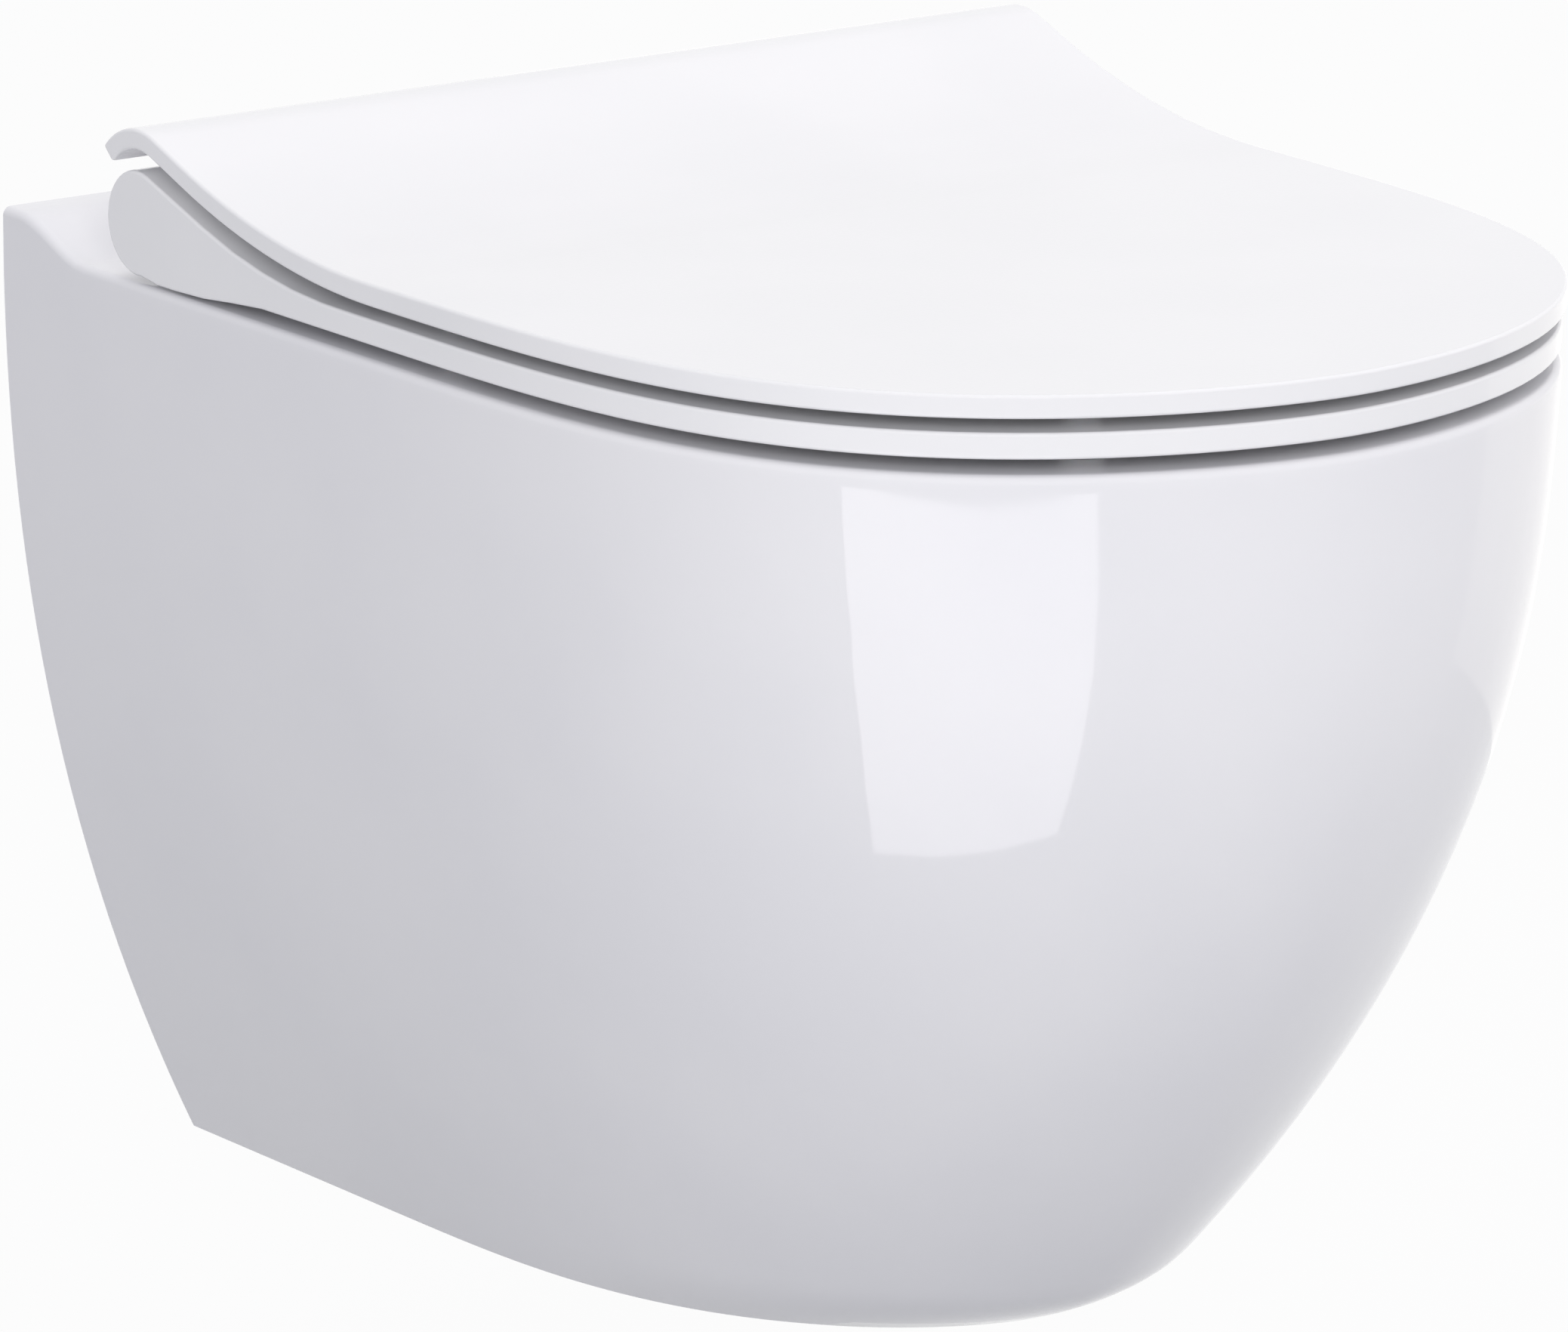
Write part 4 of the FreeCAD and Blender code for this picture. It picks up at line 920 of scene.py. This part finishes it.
def carry_round(low_x, high_x):
    """Takes the rear wall away between two values of X, and carries its top edge round the roll."""
    wall = [face for face in ring.faces if all(on_rear_wall(v) for v in face.verts)]
    wall = [face for face in wall if low_x < face.calc_center_median().x < high_x]
    bmesh.ops.delete(ring, geom=wall, context="FACES")
    top = ring_line.height(RING_REAR)
    edge_row = [v for v in ring.verts if on_rear_wall(v) and abs(v.co.z - top) < NEAR]
    edge_row = [v for v in edge_row if low_x - 2 * NEAR < v.co.x < high_x + 2 * NEAR]
    edge_row.sort(key=lambda v: v.co.x)
    for y, z in roll_profile():
        edge_row = extrude_row(ring, edge_row, [(v.co.x, y, z) for v in edge_row])


carry_round(-RING_HALF, -WINDOW_OUT)
carry_round(-WINDOW_IN, WINDOW_IN)
carry_round(WINDOW_OUT, RING_HALF)
merge(ring, within=0.005)
bmesh.ops.holes_fill(ring, edges=[edge for edge in ring.edges if edge.is_boundary], sides=0)
face_outwards(ring, up_here=(150, -300, ring_line.level))
print("ring closed:", all(edge.is_manifold for edge in ring.edges))
seat_ring = finish_piece(
    ring, "seat_ring_moulding", "ring", ["seat_ring"], SEAT_RESIN
)
soften_edges(seat_ring)

# %% [markdown]
# ## Studio
# The picture is a product shot: white all round, with less light on the left. World and floor are
# white only for the camera, for mirror rays and for rays that pass through a piece, so that the
# white ground costs no extra light on the object. The floor is one pale plane, far enough down for
# a pan whose rim is 400 mm above it.

# %% Studio helpers
def seen_directly(tree):
    """1 for camera, mirror and transmission rays, and 0 for the rays that light the object."""
    path = add_node(tree, "ShaderNodeLightPath")
    seen = path.outputs["Is Camera Ray"]
    for kind in ("Is Glossy Ray", "Is Transmission Ray"):
        larger = add_node(tree, "ShaderNodeMath", operation="MAXIMUM")
        tree.links.new(seen, larger.inputs[0])
        tree.links.new(path.outputs[kind], larger.inputs[1])
        seen = larger.outputs[0]
    return seen


def show_instead(tree, share, lit, shown, outlet):
    """Gives the outlet the lit shader, and the shown one as far as the share goes."""
    blend = add_node(tree, "ShaderNodeMixShader")
    tree.links.new(share, blend.inputs["Fac"])
    tree.links.new(lit.outputs[0], blend.inputs[1])
    tree.links.new(shown.outputs[0], blend.inputs[2])
    tree.links.new(blend.outputs[0], outlet.inputs["Surface"])


WHITE = (1.0, 1.0, 1.0, 1.0)

# %% World
FILL_COLOUR, FILL_STRENGTH = (0.92, 0.92, 0.985, 1.0), 0.52
world = bpy.data.worlds.new("studio")
bpy.context.scene.world = world
world.use_nodes = True
tree = world.node_tree
tree.nodes.clear()
fill = add_node(tree, "ShaderNodeBackground", {"Color": FILL_COLOUR, "Strength": FILL_STRENGTH})
white = add_node(tree, "ShaderNodeBackground", {"Color": WHITE, "Strength": 1.0})
out = add_node(tree, "ShaderNodeOutputWorld")
show_instead(tree, seen_directly(tree), fill, white, out)

# %% Floor
FLOOR_DROP = 400.0                  # millimetres from the rim down to the floor
FLOOR_SIZE = 6.0                    # metres from its middle to each side
FLOOR_GLOW = 0.96                   # share of white: the rest shows the object's shadow
pale = bpy.data.materials.new("pale floor")
pale.use_nodes = True
tree = pale.node_tree
shader = find_node(tree, "BSDF_PRINCIPLED")
shader.inputs["Base Color"].default_value = (0.34, 0.35, 0.38, 1.0)
shader.inputs["Roughness"].default_value = 0.7
glow = add_node(tree, "ShaderNodeEmission", {"Color": WHITE})
share = add_node(tree, "ShaderNodeMath", operation="MULTIPLY")
share.inputs[1].default_value = FLOOR_GLOW
tree.links.new(seen_directly(tree), share.inputs[0])
show_instead(tree, share.outputs[0], shader, glow, find_node(tree, "OUTPUT_MATERIAL"))
floor_bm = bmesh.new()
bmesh.ops.create_grid(floor_bm, x_segments=1, y_segments=1, size=FLOOR_SIZE)
bmesh.ops.translate(floor_bm, vec=(0, 0, (RIM - FLOOR_DROP) * MM), verts=floor_bm.verts[:])
floor = make_object(floor_bm, "studio_floor", pale)
print("floor at", round((RIM - FLOOR_DROP) * MM, 4), "m")

# %% [markdown]
# ## Camera
# The camera stands where the photograph was taken from: a long lens, well back, a little above the
# seat. Its place and turn come from a fit of known corners of the pan to the picture.

# %% Camera
CAMERA_PLACE = (-2.346, -3.4342, 0.991)
TURN = math.radians(35.669)         # to the right of straight at the wall
TILT = math.radians(14.504)         # down
ROLL = math.radians(0.188)
level_forward = Vector((math.sin(TURN), math.cos(TURN), 0.0))
forward = level_forward * math.cos(TILT) - Vector((0.0, 0.0, math.sin(TILT)))
level_right = Vector((math.cos(TURN), -math.sin(TURN), 0.0))
level_up = level_right.cross(forward)
right_hand = level_right * math.cos(ROLL) + level_up * math.sin(ROLL)
upward = level_up * math.cos(ROLL) - level_right * math.sin(ROLL)
camera_data = bpy.data.cameras.new("camera")
camera_data.sensor_fit = "HORIZONTAL"
camera_data.sensor_width = 36.0
camera_data.lens = 278.303
camera_data.shift_x = 0.039136
camera_data.shift_y = 0.0012926
camera = bpy.data.objects.new("camera", camera_data)
turn_matrix = Matrix((right_hand, upward, -forward)).transposed().to_4x4()
camera.matrix_world = Matrix.Translation(CAMERA_PLACE) @ turn_matrix
bpy.context.scene.collection.objects.link(camera)
bpy.context.scene.camera = camera
print("camera", round(Vector(CAMERA_PLACE).length, 2), "m from the wall studs")

# %% [markdown]
# ## Lamps
# Three large softboxes light the object: one overhead for the lid, one at the front left for the
# long side and the edges of lid and ring, and a wide, slightly warmer one at the right. Large lamps
# keep the shadows soft. Gloss would mirror each of them as a hard white patch that the photograph
# doesn't have, so they are hidden from mirror rays, and the glaze mirrors the cards further down.

# %% Softboxes
MIDDLE_OF_PAN = Vector((0.0, -0.28, 0.0))
LAMP_WHITE, LAMP_WARM = (1.0, 0.985, 0.965), (1.0, 0.975, 0.935)
SOFTBOXES = {                       # place, width in metres, power in watts, colour
    "overhead": ((0.5, 0.5, 2.6), 2.2, 26.0, LAMP_WHITE),
    "front left": ((-1.7, -2.3, 0.7), 1.6, 40.5, LAMP_WHITE),
    "right": ((2.6, -1.2, 0.7), 3.0, 50.0, LAMP_WARM),
}
for name, (place, width, power, colour) in SOFTBOXES.items():
    data = bpy.data.lights.new(name, "AREA")
    data.shape = "SQUARE"
    data.size = width
    data.energy = power
    data.color = colour
    lamp = bpy.data.objects.new(name, data)
    aim = (MIDDLE_OF_PAN - Vector(place)).to_track_quat("-Z", "Y")
    lamp.matrix_world = Matrix.Translation(place) @ aim.to_matrix().to_4x4()
    lamp.visible_glossy = False
    bpy.context.scene.collection.objects.link(lamp)
print(len(SOFTBOXES), "softboxes")

# %% [markdown]
# ## What the glaze mirrors
# The tall pale shape on the front of the pan is a mirror image of a studio window. What a curved
# gloss surface mirrors is found by turning the camera's ray about the surface normal. Doing that
# for the four corners of the shape gives the four corners of the window card. A dimmer card stands
# upright beside the pan, and lights the edge of its right side. Mirror rays alone see the two.

# %% Mirror cards
def mirror_card(name, corners, colour, strength):
    """A glowing card that only mirror rays see."""
    light = bpy.data.materials.new(name + " light")
    light.use_nodes = True
    tree = light.node_tree
    glow = add_node(tree, "ShaderNodeEmission", {"Color": colour, "Strength": strength})
    out = find_node(tree, "OUTPUT_MATERIAL")
    tree.links.new(glow.outputs[0], out.inputs["Surface"])
    card_bm = bmesh.new()
    card_row = start_row(card_bm, corners, closed=True)
    bmesh.ops.contextual_create(card_bm, geom=row_edges(card_bm, card_row, closed=True))
    card = make_object(card_bm, name, light)
    card.visible_camera = False
    card.visible_diffuse = False
    card.visible_shadow = False
    card.visible_transmission = False
    print(name, "glows at", strength)


mirror_card(
    "window_card",
    [
        (-0.4744, -0.5201, -0.0347), (-0.1985, -0.8356, -0.0216),
        (-0.1928, -0.6539, -0.2534), (-0.3439, -0.4749, -0.2683),
    ],
    colour=(1.0, 0.98, 1.0, 1.0), strength=2.9,
)
mirror_card(
    "side_card",
    [(0.80, -0.60, -0.29), (0.80, -0.60, 0.07), (0.62, 0.90, 0.07), (0.62, 0.90, -0.29)],
    colour=(1.0, 0.99, 0.97, 1.0), strength=1.25,
)

# %% Finish
bpy.context.scene.view_settings.view_transform = "Standard"
